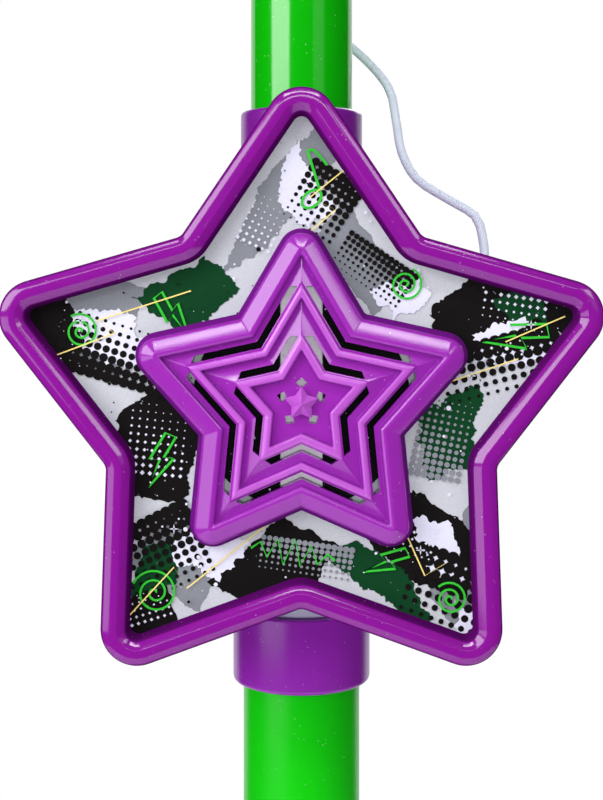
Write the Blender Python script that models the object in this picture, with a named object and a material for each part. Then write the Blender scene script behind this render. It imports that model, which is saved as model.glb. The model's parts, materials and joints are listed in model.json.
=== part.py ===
"""Toy microphone on a telescoping stand with a star-shaped loudspeaker.

The pole stands on the Z axis, on a round base at z = 0, and the star faces -Y. The white inner tube
slides in the lower tube and carries the star, the upper tube and the microphone. All lengths are in metres.
"""

import math

import bmesh
import bpy
from mathutils import Matrix, Vector

# Fits
CLEARANCE = 0.0003
SMOOTH_ANGLE = math.radians(32)
ROUND_STEPS = 28
SMALL_STEPS = 14
MIC_STEPS = 24
SPEAKER_STEPS = 24
ARMS = 5

# Base
BASE_RADIUS = 0.118
BASE_WALL = 0.003
BASE_RIM_BOTTOM = 0.002
BASE_RIM_TOP = 0.014
BASE_RIM_ROUND = 0.006
BASE_DOME_TOP = 0.030
BASE_STEPS = 40
BOSS_RADIUS = 0.0225
BOSS_TOP = 0.066
BOSS_ROUND = 0.003
BOSS_FOOT = 0.0085
SOCKET_DEPTH = 0.0535
PLATE_THICKNESS = 0.0027
FOOT_RADIUS = 0.009
FOOT_INSET = 0.023
WEIGHT_INNER = 0.026
WEIGHT_INSET = 0.038
WEIGHT_THICKNESS = 0.0036

# Pole
LOWER_TUBE_RADIUS = 0.0154
LOWER_TUBE_WALL = 0.0016
LOWER_TUBE_LENGTH = 0.300
CORE_RADIUS = 0.0117
CORE_WALL = 0.0015
CORE_FOOT_SPACE = 0.0372
UPPER_TUBE_RADIUS = 0.0135
UPPER_TUBE_LENGTH = 0.166
LOWER_COLLAR_RADIUS = 0.01815
LOWER_COLLAR_HEIGHT = 0.0192
UPPER_COLLAR_RADIUS = 0.01615
UPPER_COLLAR_HEIGHT = 0.0188
COLLAR_FLANGE = 0.003
COLLAR_SHOULDER = 0.004
COLLAR_ROUND = 0.0012
BUSH_HEIGHT = 0.007
CORE_FOOT_FLANGE = 0.0057
CORE_FOOT_SPIGOT = 0.010
CORE_SPIGOT = 0.060

# Star loudspeaker
STAR_EDGE = 0.0449
STAR_HALF_ANGLE = math.radians(34.05)
STAR_TIP_FILLET = 0.0085
STAR_VALLEY_FILLET = 0.003
STAR_ABOVE_COLLAR = 0.0579
STAR_FACE = 0.042
UPPER_COLLAR_ABOVE_STAR = 0.0544
TIP_STEPS = 5
VALLEY_STEPS = 2
SHARPEST_FILLET = 0.0002
BEZEL_WIDTH = 0.0064
BEZEL_RISE = 0.0065
BEZEL_SKIRT = 0.006
BEZEL_SKIRT_WALL = 0.0024
# Bead from its outer to its inner side, as shares of its width and rise
BEAD_SECTION = ((0.0, 0.65), (0.08, 0.85), (0.25, 0.955), (0.53, 1.0), (0.77, 0.97), (0.88, 0.86))
CARD_THICKNESS = 0.0008
WINDOW_RADIUS = 0.0257
WINDOW_STRIP = 0.0100
SHELL_DEPTH = 0.0255
SHELL_WALL = 0.0022
SHELL_LIP = 0.0018
SHELL_TAPER = 0.0105

# Grille
GRILLE_EDGE = 0.0233
GRILLE_HALF_ANGLE = math.radians(30.4)
GRILLE_TIP_FILLET = 0.0055
GRILLE_VALLEY_FILLET = 0.0008
GRILLE_TIP_STEPS = 4
GRILLE_RISE = 0.0079
GRILLE_LEDGE = 0.0059
GRILLE_CREVICE = 0.0050
GRILLE_BACK = 0.0034
RIM_CREST_EDGE = 0.0178
# Rim from its foot to its crest, as shares of its width and of the grille's rise
RIM_SECTION = ((0.0, 0.28), (0.22, 0.73), (0.31, 0.80), (0.80, 0.96), (0.93, 0.985))
RIM_SKIRT = 0.0018
OUTER_SLOT_EDGE = 0.0161
OUTER_SLOT_WIDTH = 0.0016
OUTER_SLOT_REACH = 0.0271
INNER_CREST_EDGE = 0.0127
INNER_SLOT_EDGE = 0.0102
INNER_SLOT_WIDTH = 0.00165
INNER_SLOT_REACH = 0.0156
PLATE_CREST_EDGE = 0.0066
CREST_DROP = 0.0006
HOLE_START = 0.0034
HOLE_END = 0.0060
HOLE_HALF_WIDTH = 0.00135
CENTRE_STAR_TIP = 0.0041
CENTRE_STAR_VALLEY = 0.0024
CENTRE_STAR_RISE = 0.0030
CENTRE_STAR_GAP = 0.0012
CENTRE_STEM_RADIUS = 0.0019
PEG_RADIUS = 0.0017
PEG_RING = 0.033
PEG_LENGTH = 0.0080
POST_WALL = 0.0015

# Loudspeaker unit
CLOTH_THICKNESS = 0.0005
SPEAKER_RADIUS = 0.0285
SPEAKER_FLANGE = 0.0014
SPEAKER_OPENING = 0.0235
BASKET_DEPTH = 0.0123
BASKET_BACK_RADIUS = 0.0152
BASKET_SHEET = 0.0010
MAGNET_RADIUS = 0.0145
MAGNET_THICKNESS = 0.0070
CONE_SHEET = 0.0006
DUST_CAP_RADIUS = 0.0078
SPEAKER_POST_RADIUS = 0.0016
SPEAKER_POST_RING = 0.0268
SPEAKER_POST_ANGLE = math.radians(30)

# Pole saddle and clamp
SADDLE_HALF_WIDTH = 0.0210
SADDLE_BOTTOM = -0.034
SADDLE_TOP = 0.030
CLAMP_WALL = 0.0035
CLAMP_EAR = 0.0040

# Jack and plug
JACK_RADIUS = 0.0497
JACK_ANGLE = math.radians(72)
JACK_BODY_RADIUS = 0.0048
JACK_BODY_LENGTH = 0.0125
JACK_BARREL_RADIUS = 0.0030
JACK_BORE_RADIUS = 0.0018
JACK_FLOOR = 0.0015
TERMINAL_BOARD = (0.016, 0.0012, 0.014)
PLUG_WIDTH = 0.009
PLUG_BELOW = 0.005
PLUG_ABOVE = 0.0095
PLUG_NOSE = 0.008
PLUG_NOSE_RADIUS = 0.0034
PLUG_PIN_LENGTH = 0.0125

# Lead
LEAD_RADIUS = 0.0012
WINDING_TURNS = 4
WINDING_PITCH = 0.022
WINDING_START = 0.1035
LOOP_POINTS = 24
LEAD_STEP = 0.006
LEAD_FROM_PLUG = (
    (0.0472, -0.0080, 0.0400),
    (0.0455, -0.0060, 0.0455),
    (0.0385, -0.0030, 0.0502),
    (0.0309, 0.0010, 0.0557),
    (0.0271, 0.0050, 0.0633),
    (0.0258, 0.0090, 0.0727),
    (0.0238, 0.0125, 0.0822),
    (0.0150, 0.0152, 0.0925),
)
LEAD_TO_MICROPHONE = (
    (-0.0140, 0.0195, 0.1920),
    (-0.0195, 0.0310, 0.1885),
    (-0.0195, 0.0480, 0.1845),
    (-0.0150, 0.0680, 0.1835),
    (-0.0085, 0.0850, 0.1880),
    (-0.0030, 0.0930, 0.1985),
    (0.0000, 0.0900, 0.2095),
)

# Pole top and clip
BRACKET_SPIGOT = 0.018
BRACKET_CAP_RADIUS = 0.0148
BRACKET_CAP_HEIGHT = 0.0075
PIVOT_ABOVE_TUBE = 0.022
EAR_INNER = 0.0060
EAR_THICKNESS = 0.0040
EAR_RADIUS = 0.0085
PIN_RADIUS = 0.0025
PIN_HEAD_RADIUS = 0.0048
PIN_HEAD_LENGTH = 0.0027
KNOB_LENGTH = 0.0097
KNOB_RADIUS = 0.0085
KNOB_LOBE = 0.0012
KNOB_LOBES = 6
KNOB_HOLE_DEPTH = 0.0080
LUG_RADIUS = 0.0080
LUG_FOOT = 0.0100
CLIP_WALL = 0.0026
CLIP_LENGTH = 0.032
CLIP_OPENING = math.radians(55)
CLIP_STEPS = 28

# Microphone
MIC_ELEVATION = math.radians(40)
MIC_ABOVE_PIVOT = 0.030
HANDLE_TAIL = -0.066
HANDLE_TAIL_RADIUS = 0.0118
HANDLE_HEAD_RADIUS = 0.0148
HANDLE_WALL = 0.0024
HANDLE_FLOOR = 0.004
HANDLE_TAIL_ROUND = 0.005
HEAD_SPACE = 0.0020
DOOR_HALF_ANGLE = math.radians(33)
DOOR_START = -0.0505
DOOR_PAST_CELLS = 0.0014
DOOR_STEPS = 8
CELL_RADIUS = 0.0052
CELL_LENGTH = 0.0445
CELL_NUB_RADIUS = 0.0019
CELL_NUB = 0.0008
CELLS = 2
CELLS_START = -0.0475
TRAY_START = -0.054
TRAY_STEPS = 12
CONTACT_THICKNESS = 0.0006
CONTACT_RADIUS = 0.0049
SPRING_RADIUS = 0.0034
SPRING_WIRE = 0.0004
SPRING_TURNS = 4
SPRING_POINTS = 8
BOARD_HALF_WIDTH = 0.006
BOARD_THICKNESS = 0.0012
BOARD_LEVEL = 0.003
BOARD_PAST_SWITCH = 0.0004
SWITCH_FROM_DOOR = 0.0039
SWITCH_SLOT_LENGTH = 0.0122
SWITCH_SLOT_HALF_WIDTH = 0.0034
SWITCH_BUTTON_LENGTH = 0.0070
SWITCH_BUTTON_RISE = 0.0022
SWITCH_BUTTON_SINK = 0.0012
SWITCH_STEM = 0.0016
SWITCH_BODY_HEIGHT = 0.0034
BOOT_LENGTH = 0.016
BOOT_RADIUS = 0.0055
BOOT_END_RADIUS = 0.0021
BOOT_SPIGOT = 0.0036
BOOT_SPIGOT_RADIUS = 0.0027
BOOT_RIBS = 3
NECK_LENGTH = 0.0102
NECK_RADIUS = 0.0190
NECK_BORE = 0.0105
NECK_SPIGOT = 0.003
BALL_RADIUS = 0.0225
BALL_WALL = 0.0012
BALL_NECK = 0.0170
BALL_STEPS = 8
BAND_HALF_WIDTH = 0.0028
BAND_THICKNESS = 0.0015
CAPSULE_FLANGE_RADIUS = 0.0118
CAPSULE_FLANGE = 0.0022
CAPSULE_RADIUS = 0.0062
CAPSULE_LENGTH = 0.0060

# Colours
PURPLE = (0.226, 0.016, 0.266)
LILAC = (0.423, 0.089, 0.558)
GREEN = (0.006, 0.434, 0.006)
WHITE = (0.790, 0.830, 0.880)
BLACK = (0.012, 0.012, 0.014)
CARD_GREY = (0.380, 0.390, 0.450)
STEEL = (0.520, 0.530, 0.550)
IRON = (0.060, 0.060, 0.065)
BOARD_GREEN = (0.020, 0.130, 0.050)
FOAM_GREY = (0.045, 0.045, 0.050)

# Heights and places that follow from the sizes above
SOCKET_FLOOR = BOSS_TOP - SOCKET_DEPTH
FOOT_RING = BASE_RADIUS - FOOT_INSET
WEIGHT_OUTER = BASE_RADIUS - WEIGHT_INSET
LOWER_TUBE_BOTTOM = SOCKET_FLOOR + CLEARANCE
LOWER_TUBE_TOP = LOWER_TUBE_BOTTOM + LOWER_TUBE_LENGTH
LOWER_TUBE_BORE = LOWER_TUBE_RADIUS - LOWER_TUBE_WALL
BUSH_BOTTOM = LOWER_TUBE_TOP + CLEARANCE
BUSH_TOP = BUSH_BOTTOM + BUSH_HEIGHT
LOWER_COLLAR_TOP = BUSH_TOP + CLEARANCE + COLLAR_FLANGE
STAR_Z = LOWER_COLLAR_TOP + STAR_ABOVE_COLLAR
UPPER_COLLAR_BOTTOM = STAR_Z + UPPER_COLLAR_ABOVE_STAR
UPPER_COLLAR_TOP = UPPER_COLLAR_BOTTOM + UPPER_COLLAR_HEIGHT
CORE_TOP = UPPER_COLLAR_BOTTOM + CORE_SPIGOT
CORE_BOTTOM = SOCKET_FLOOR + CORE_FOOT_SPACE + CORE_FOOT_FLANGE + CLEARANCE
CORE_HOLE = CORE_RADIUS + CLEARANCE
UPPER_TUBE_BOTTOM = UPPER_COLLAR_BOTTOM + COLLAR_SHOULDER + CLEARANCE
UPPER_TUBE_TOP = UPPER_TUBE_BOTTOM + UPPER_TUBE_LENGTH
PIVOT = Vector((0.0, 0.0, UPPER_TUBE_TOP + PIVOT_ABOVE_TUBE))
MIC_AXIS = Vector((0.0, -math.cos(MIC_ELEVATION), math.sin(MIC_ELEVATION)))
MIC_UP = Vector((0.0, math.sin(MIC_ELEVATION), math.cos(MIC_ELEVATION)))
MIC_CENTRE = PIVOT + MIC_UP * MIC_ABOVE_PIVOT
CELLS_END = CELLS_START + CELLS * (CELL_LENGTH + CLEARANCE)
DOOR_END = CELLS_END + DOOR_PAST_CELLS
SWITCH_SLOT_START = DOOR_END + SWITCH_FROM_DOOR
BOARD_END = SWITCH_SLOT_START + SWITCH_SLOT_LENGTH + BOARD_PAST_SWITCH
HANDLE_HEAD = BOARD_END + HEAD_SPACE
NECK_START = HANDLE_HEAD + CLEARANCE
NECK_END = NECK_START + NECK_LENGTH
BALL_START = NECK_END + CLEARANCE
BALL_CENTRE = BALL_START + math.sqrt(BALL_RADIUS**2 - BALL_NECK**2)
BOOT_START = HANDLE_TAIL - CLEARANCE
BOOT_END = BOOT_START - BOOT_LENGTH
CARD_BACK = CARD_THICKNESS + CLEARANCE
CLOTH_BACK = CARD_BACK + CLOTH_THICKNESS
FLANGE_FRONT = CLOTH_BACK + CLEARANCE
FLANGE_BACK = FLANGE_FRONT + SPEAKER_FLANGE
BASKET_BACK = FLANGE_FRONT + BASKET_DEPTH + BASKET_SHEET
SHELL_FLOOR = SHELL_DEPTH - SHELL_WALL
JACK = (JACK_RADIUS * math.sin(JACK_ANGLE), JACK_RADIUS * math.cos(JACK_ANGLE))
PLUG_FRONT = SHELL_DEPTH + 2 * CLEARANCE
PLUG_CENTRE = PLUG_FRONT + PLUG_WIDTH / 2
PLUG_TOP = JACK[1] + PLUG_ABOVE + PLUG_NOSE

# Frames: turned pieces spin about a frame's Z axis
UPRIGHT = Matrix.Identity(4)
MIC_TURN = Matrix((Vector((1, 0, 0)), MIC_UP, MIC_AXIS)).transposed().to_4x4()
MIC_FRAME = Matrix.Translation(MIC_CENTRE) @ MIC_TURN


def star_frame(x=0.0, z=0.0):
    """Frame on the card's front face whose Z axis runs into the star, that is along +Y."""
    place = Matrix((Vector((1, 0, 0)), Vector((0, 0, -1)), Vector((0, 1, 0)))).transposed().to_4x4()
    return Matrix.Translation(Vector((x, -STAR_FACE, STAR_Z + z))) @ place


def clear_scene():
    """Removes every object of the startup scene."""
    for obj in list(bpy.data.objects):
        bpy.data.objects.remove(obj, do_unlink=True)


def finish(name, colour, roughness, metallic=0.0):
    """Principled material of one piece."""
    made = bpy.data.materials.new(name)
    made.use_nodes = True
    shader = made.node_tree.nodes["Principled BSDF"]
    shader.inputs["Base Color"].default_value = (*colour, 1.0)
    shader.inputs["Roughness"].default_value = roughness
    shader.inputs["Metallic"].default_value = metallic
    made.diffuse_color = (*colour, 1.0)
    return made


def gloss(name, colour):
    return finish(name, colour, 0.22)


def matt(name, colour):
    return finish(name, colour, 0.65)


def metal(name, colour):
    return finish(name, colour, 0.35, 1.0)


def body(name, origin):
    """Empty that carries the pieces of one moving body, with its origin on the body's joint axis."""
    empty = bpy.data.objects.new(name, None)
    empty.location = origin
    bpy.context.collection.objects.link(empty)
    return empty


def place_object(obj, carrier):
    obj.parent = carrier
    bpy.context.collection.objects.link(obj)
    return obj


def piece(name, bm, look, carrier):
    """Named object from a bmesh in world coordinates, carried by a body's empty."""
    bmesh.ops.recalc_face_normals(bm, faces=bm.faces)
    bmesh.ops.translate(bm, verts=bm.verts, vec=-carrier.location)
    mesh = bpy.data.meshes.new(name)
    bm.to_mesh(mesh)
    bm.free()
    mesh.shade_smooth()
    mesh.set_sharp_from_angle(angle=SMOOTH_ANGLE)
    mesh.materials.append(look)
    return place_object(bpy.data.objects.new(name, mesh), carrier)


def combine(target, bm, operation):
    """Adds a Boolean to the target, with a hidden helper made from the bmesh."""
    helper = piece(f"{target.name}_{operation.lower()}", bm, target.data.materials[0], target.parent)
    helper.hide_render = True
    helper.display_type = "WIRE"
    modifier = target.modifiers.new(operation.title(), "BOOLEAN")
    modifier.operation = operation
    modifier.solver = "EXACT"
    modifier.object = helper


def skin(bm, rings, closed):
    """Faces between rings of vertices; a ring of one vertex is a point on the axis."""
    pairs = list(zip(rings, rings[1:] + rings[:1])) if closed else list(zip(rings, rings[1:]))
    for first, second in pairs:
        count = max(len(first), len(second))
        for step in range(count):
            after = (step + 1) % count
            corners = [first[step % len(first)], first[after % len(first)]]
            corners += [second[after % len(second)], second[step % len(second)]]
            bm.faces.new(list(dict.fromkeys(corners)))


def loft(bm, loops, closed=False):
    """Solid through loops of points: a closed ring of loops, or a stack with a cap at each end."""
    rings = [[bm.verts.new(point) for point in loop] for loop in loops]
    skin(bm, rings, closed)
    if not closed:
        for ring in (rings[0], rings[-1]):
            if len(ring) > 1:
                bm.faces.new(ring)


def turn(bm, profile, place=UPRIGHT, steps=ROUND_STEPS):
    """Spins a half-section of (radius, height) points about the frame's Z axis.

    A section that begins and ends on the axis makes a solid piece, any other makes a ring.
    """
    loops = []
    for radius, height in profile:
        count = steps if radius > 0 else 1
        angles = [2 * math.pi * step / steps for step in range(count)]
        loops.append([place @ Vector((radius * math.cos(a), radius * math.sin(a), height)) for a in angles])
    on_axis = profile[0][0] == 0 and profile[-1][0] == 0
    rings = [[bm.verts.new(point) for point in loop] for loop in loops]
    skin(bm, rings, not on_axis)


def prism(bm, outline, place, start, end):
    """Extrudes an outline of (x, y) points of the frame from one height to another."""
    loft(bm, [[place @ Vector((x, y, height)) for x, y in outline] for height in (start, end)])


def rod(bm, radius, start, end, place=UPRIGHT, steps=SMALL_STEPS):
    turn(bm, [(0, start), (radius, start), (radius, end), (0, end)], place, steps)


def box(bm, size, centre, round_edges=0.0):
    """Box with its centre at a point, and with all edges rounded if a radius is given."""
    made = bmesh.ops.create_cube(bm, size=1.0)["verts"]
    bmesh.ops.scale(bm, verts=made, vec=size)
    bmesh.ops.translate(bm, verts=made, vec=centre)
    if round_edges:
        edges = list({edge for vertex in made for edge in vertex.link_edges})
        bmesh.ops.bevel(bm, geom=edges, offset=round_edges, segments=2, profile=0.5, affect="EDGES")


def arc(radius, start, end, steps, centre=(0.0, 0.0)):
    """Points on an arc, with angles from the frame's Y axis towards its X axis."""
    angles = [start + (end - start) * step / steps for step in range(steps + 1)]
    return [(centre[0] + radius * math.sin(a), centre[1] + radius * math.cos(a)) for a in angles]


def star_outline(edge, half_angle, tip_fillet, valley_fillet,
                 tip_steps=TIP_STEPS, valley_steps=VALLEY_STEPS):
    """Star of straight edges at one distance from its centre, with filleted tips and valleys."""
    normal = math.pi / 2 - half_angle
    valley_lean = normal - math.pi / ARMS
    tip_centre = (edge - tip_fillet) / math.sin(half_angle)
    valley_centre = (edge + valley_fillet) / math.cos(valley_lean)
    points = []
    for arm in range(ARMS):
        axis = 2 * math.pi * arm / ARMS
        valley = axis + math.pi / ARMS
        tip_at = (tip_centre * math.sin(axis), tip_centre * math.cos(axis))
        valley_at = (valley_centre * math.sin(valley), valley_centre * math.cos(valley))
        points += arc(tip_fillet, axis - normal, axis + normal, tip_steps, tip_at)
        turned = valley + math.pi
        points += arc(valley_fillet, turned + valley_lean, turned - valley_lean, valley_steps, valley_at)
    return points


def star_loop(inset, depth):
    """Loop parallel to the star frame's outline, inset from it, at a depth behind the card's front face."""
    tip = max(STAR_TIP_FILLET - inset, SHARPEST_FILLET)
    outline = star_outline(STAR_EDGE - inset, STAR_HALF_ANGLE, tip, STAR_VALLEY_FILLET + inset)
    return [Vector((x, depth - STAR_FACE, STAR_Z + z)) for x, z in outline]


def grille_loop(edge, rise):
    """Loop parallel to the grille's outline, at a height in front of the card."""
    inset = GRILLE_EDGE - edge
    tip = max(GRILLE_TIP_FILLET - inset, SHARPEST_FILLET)
    outline = star_outline(edge, GRILLE_HALF_ANGLE, tip, GRILLE_VALLEY_FILLET, GRILLE_TIP_STEPS, 1)
    return [Vector((x, -STAR_FACE - rise, STAR_Z + z)) for x, z in outline]


def on_arm(arm, along, across=0.0):
    """Point (x, z) of the star's plane given along and across an arm's axis."""
    axis = 2 * math.pi * arm / ARMS
    return (
        along * math.sin(axis) + across * math.cos(axis),
        along * math.cos(axis) - across * math.sin(axis),
    )


def ring_section(inner, outer, bottom, top, edge_round=0.0):
    """Section of a plain collar, with its outer edges rounded if a size is given."""
    if not edge_round:
        return [(inner, top), (outer, top), (outer, bottom), (inner, bottom)]
    return [
        (inner, top),
        (outer - edge_round, top),
        (outer - 0.3 * edge_round, top - 0.3 * edge_round),
        (outer, top - edge_round),
        (outer, bottom + edge_round),
        (outer - 0.3 * edge_round, bottom + 0.3 * edge_round),
        (outer - edge_round, bottom),
        (inner, bottom),
    ]


def dome_height(radius):
    """Height of the base's skin: a low dome that flares into the boss."""
    share = (BASE_RADIUS - BASE_RIM_ROUND - radius) / (BASE_RADIUS - BASE_RIM_ROUND - BOSS_RADIUS)
    return BASE_RIM_TOP + (BASE_DOME_TOP - BASE_RIM_TOP) * (0.35 * share + 0.65 * share**4)


def make_base(stand):
    """Hollow base with its tube socket, closed by a plate that holds a weight, on rubber feet."""
    rim_centre = (BASE_RADIUS - BASE_RIM_ROUND, BASE_RIM_TOP - BASE_RIM_ROUND)
    rim = arc(BASE_RIM_ROUND, math.pi / 2, 0, 3, rim_centre)
    reach = BASE_RADIUS - BASE_RIM_ROUND - BOSS_RADIUS
    dome = [BASE_RADIUS - BASE_RIM_ROUND - reach * share for share in (0.3, 0.6, 0.8, 0.92, 1.0)]
    socket = LOWER_TUBE_RADIUS + CLEARANCE
    tube_ledge = LOWER_TUBE_BORE - LOWER_TUBE_WALL
    boss_inner = BOSS_RADIUS - BASE_WALL
    roof = [(radius, dome_height(radius) - BASE_WALL) for radius in reversed(dome[:-1])]
    profile = [(BASE_RADIUS, BASE_RIM_BOTTOM), *rim]
    profile += [(radius, dome_height(radius)) for radius in dome]
    profile += arc(BOSS_ROUND, math.pi / 2, 0, 3, (BOSS_RADIUS - BOSS_ROUND, BOSS_TOP - BOSS_ROUND))
    profile += [(socket, BOSS_TOP), (socket, SOCKET_FLOOR)]
    profile += [(tube_ledge, SOCKET_FLOOR), (tube_ledge, BOSS_FOOT)]
    profile += [(boss_inner, BOSS_FOOT), (boss_inner, roof[0][1]), *roof]
    inner_rim = BASE_RADIUS - BASE_WALL
    profile += [(inner_rim, BASE_RIM_TOP - 1.5 * BASE_WALL), (inner_rim, BASE_RIM_BOTTOM)]
    bm = bmesh.new()
    turn(bm, profile, steps=BASE_STEPS)
    piece("base_shell", bm, gloss("base_shell", PURPLE), stand)

    plate_top = BOSS_FOOT - CLEARANCE
    plate_bottom = plate_top - PLATE_THICKNESS
    bm = bmesh.new()
    rod(bm, inner_rim - CLEARANCE, plate_bottom, plate_top, steps=BASE_STEPS)
    piece("base_plate", bm, matt("base_plate", BLACK), stand)

    weight_bottom = plate_top + CLEARANCE
    bm = bmesh.new()
    turn(bm, ring_section(WEIGHT_INNER, WEIGHT_OUTER, weight_bottom, weight_bottom + WEIGHT_THICKNESS))
    piece("base_weight", bm, metal("base_weight", IRON), stand)

    for foot in range(ARMS):
        angle = 2 * math.pi * (foot + 0.5) / ARMS
        place = Matrix.Translation((FOOT_RING * math.sin(angle), FOOT_RING * math.cos(angle), 0.0))
        top = plate_bottom - CLEARANCE
        bm = bmesh.new()
        turn(bm, [(0, 0), (0.85 * FOOT_RADIUS, 0), (FOOT_RADIUS, 0.4 * top), (FOOT_RADIUS, top), (0, top)],
             place, SMALL_STEPS)
        name = f"base_foot_{foot + 1}"
        piece(name, bm, matt(name, BLACK), stand)


def make_pole(stand, mast):
    """Telescoping pole: lower tube, collar and bush stay on the stand, the rest goes with the mast."""
    bm = bmesh.new()
    turn(bm, ring_section(LOWER_TUBE_BORE, LOWER_TUBE_RADIUS, LOWER_TUBE_BOTTOM, LOWER_TUBE_TOP))
    piece("lower_tube", bm, gloss("lower_tube", GREEN), stand)

    bm = bmesh.new()
    turn(bm, ring_section(CORE_HOLE, LOWER_TUBE_RADIUS, BUSH_BOTTOM, BUSH_TOP))
    piece("friction_bush", bm, matt("friction_bush", BLACK), stand)

    sleeve = LOWER_TUBE_RADIUS + CLEARANCE
    bottom = LOWER_COLLAR_TOP - LOWER_COLLAR_HEIGHT
    profile = ring_section(CORE_HOLE, LOWER_COLLAR_RADIUS, bottom, LOWER_COLLAR_TOP, COLLAR_ROUND)[:-1]
    profile += [(sleeve, bottom), (sleeve, BUSH_TOP + CLEARANCE), (CORE_HOLE, BUSH_TOP + CLEARANCE)]
    bm = bmesh.new()
    turn(bm, profile)
    piece("lower_collar", bm, gloss("lower_collar", PURPLE), stand)

    bm = bmesh.new()
    turn(bm, ring_section(CORE_RADIUS - CORE_WALL, CORE_RADIUS, CORE_BOTTOM, CORE_TOP))
    piece("core_tube", bm, gloss("core_tube", WHITE), mast)

    spigot = CORE_RADIUS - CORE_WALL - CLEARANCE
    flange = LOWER_TUBE_BORE - CLEARANCE
    flange_top = CORE_BOTTOM - CLEARANCE
    flange_bottom = flange_top - CORE_FOOT_FLANGE
    spigot_top = CORE_BOTTOM + CORE_FOOT_SPIGOT
    bm = bmesh.new()
    turn(bm, [(0, flange_bottom), (flange, flange_bottom), (flange, flange_top), (spigot, flange_top),
              (spigot, spigot_top), (0, spigot_top)])
    piece("core_foot", bm, matt("core_foot", BLACK), mast)

    sleeve = UPPER_TUBE_RADIUS + CLEARANCE
    shoulder = UPPER_COLLAR_BOTTOM + COLLAR_SHOULDER
    bottom = UPPER_COLLAR_BOTTOM
    profile = ring_section(sleeve, UPPER_COLLAR_RADIUS, bottom, UPPER_COLLAR_TOP, COLLAR_ROUND)[:-1]
    profile += [(CORE_HOLE, bottom), (CORE_HOLE, shoulder), (sleeve, shoulder)]
    bm = bmesh.new()
    turn(bm, profile)
    piece("upper_collar", bm, gloss("upper_collar", PURPLE), mast)

    bm = bmesh.new()
    turn(bm, ring_section(CORE_HOLE, UPPER_TUBE_RADIUS, UPPER_TUBE_BOTTOM, UPPER_TUBE_TOP))
    piece("upper_tube", bm, gloss("upper_tube", GREEN), mast)


def make_bezel(mast):
    """Star frame: a rounded bead over the card's edge, with a skirt that takes the rear shell."""
    bead = [(across * BEZEL_WIDTH, -rise * BEZEL_RISE) for across, rise in BEAD_SECTION]
    profile = [(0.0, BEZEL_SKIRT), *bead, (BEZEL_WIDTH, -CLEARANCE)]
    profile += [(BEZEL_SKIRT_WALL, -CLEARANCE), (BEZEL_SKIRT_WALL, BEZEL_SKIRT)]
    bm = bmesh.new()
    loft(bm, [star_loop(inset, depth) for inset, depth in profile], closed=True)
    piece("star_bezel", bm, gloss("star_bezel", PURPLE), mast)


def window_outline(side):
    """One of the card's two D-shaped windows, right for 1 and left for -1."""
    half_strip = WINDOW_STRIP / 2
    start = math.asin(half_strip / WINDOW_RADIUS)
    return [(side * x, y) for x, y in arc(WINDOW_RADIUS, start, math.pi - start, 16)]


def make_card(mast):
    """Printed card, with two windows for the loudspeaker and a hole for each grille peg."""
    inset = BEZEL_SKIRT_WALL + CLEARANCE
    bm = bmesh.new()
    loft(bm, [star_loop(inset, 0.0), star_loop(inset, CARD_THICKNESS)])
    card = piece("art_card", bm, matt("art_card", CARD_GREY), mast)
    cuts = bmesh.new()
    for side in (-1, 1):
        prism(cuts, window_outline(side), star_frame(), -CARD_THICKNESS, 2 * CARD_THICKNESS)
    for arm in range(ARMS):
        x, z = on_arm(arm, PEG_RING)
        rod(cuts, PEG_RADIUS + CLEARANCE, -CARD_THICKNESS, 2 * CARD_THICKNESS, star_frame(x, z))
    combine(card, cuts, "DIFFERENCE")


def grille_profile():
    """Saw-tooth section of the grille from its foot to its centre plate: (edge distance, rise) points."""
    shoulder = GRILLE_EDGE - RIM_CREST_EDGE
    section = [(GRILLE_EDGE, CLEARANCE)]
    section += [(GRILLE_EDGE - across * shoulder, rise * GRILLE_RISE) for across, rise in RIM_SECTION]
    for crest, slot in ((RIM_CREST_EDGE, OUTER_SLOT_EDGE), (INNER_CREST_EDGE, INNER_SLOT_EDGE)):
        if crest == INNER_CREST_EDGE:
            section.append((crest + 0.5 * CREST_DROP, GRILLE_RISE - 0.3 * CREST_DROP))
        section.append((crest - 0.5 * CREST_DROP, GRILLE_RISE - CREST_DROP))
        section.append((crest - CREST_DROP, GRILLE_CREVICE))
        section.append((slot, GRILLE_LEDGE))
        width = OUTER_SLOT_WIDTH if slot == OUTER_SLOT_EDGE else INNER_SLOT_WIDTH
        section.append((slot - width, GRILLE_LEDGE))
    section.append((PLATE_CREST_EDGE + 0.5 * CREST_DROP, GRILLE_RISE - 0.3 * CREST_DROP))
    section.append((PLATE_CREST_EDGE - 0.5 * CREST_DROP, GRILLE_RISE - CREST_DROP))
    section.append((PLATE_CREST_EDGE - CREST_DROP, GRILLE_CREVICE))
    return section


def slot_outline(valley, edge, width, reach):
    """Chevron slot around one valley, between two star edges and short of the tips on either side."""
    normal = math.pi / 2 - GRILLE_HALF_ANGLE
    points = []
    for line, arms in ((edge, (valley, valley + 1)), (edge - width, (valley + 1, valley))):
        corner = line / math.cos(normal - math.pi / ARMS)
        middle = on_arm(valley + 0.5, corner)
        ends = []
        for arm in arms:
            across = (line - reach * math.sin(GRILLE_HALF_ANGLE)) / math.cos(GRILLE_HALF_ANGLE)
            ends.append(on_arm(arm, reach, across if arm == valley else -across))
        points += [ends[0], middle, ends[1]]
    return points


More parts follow.
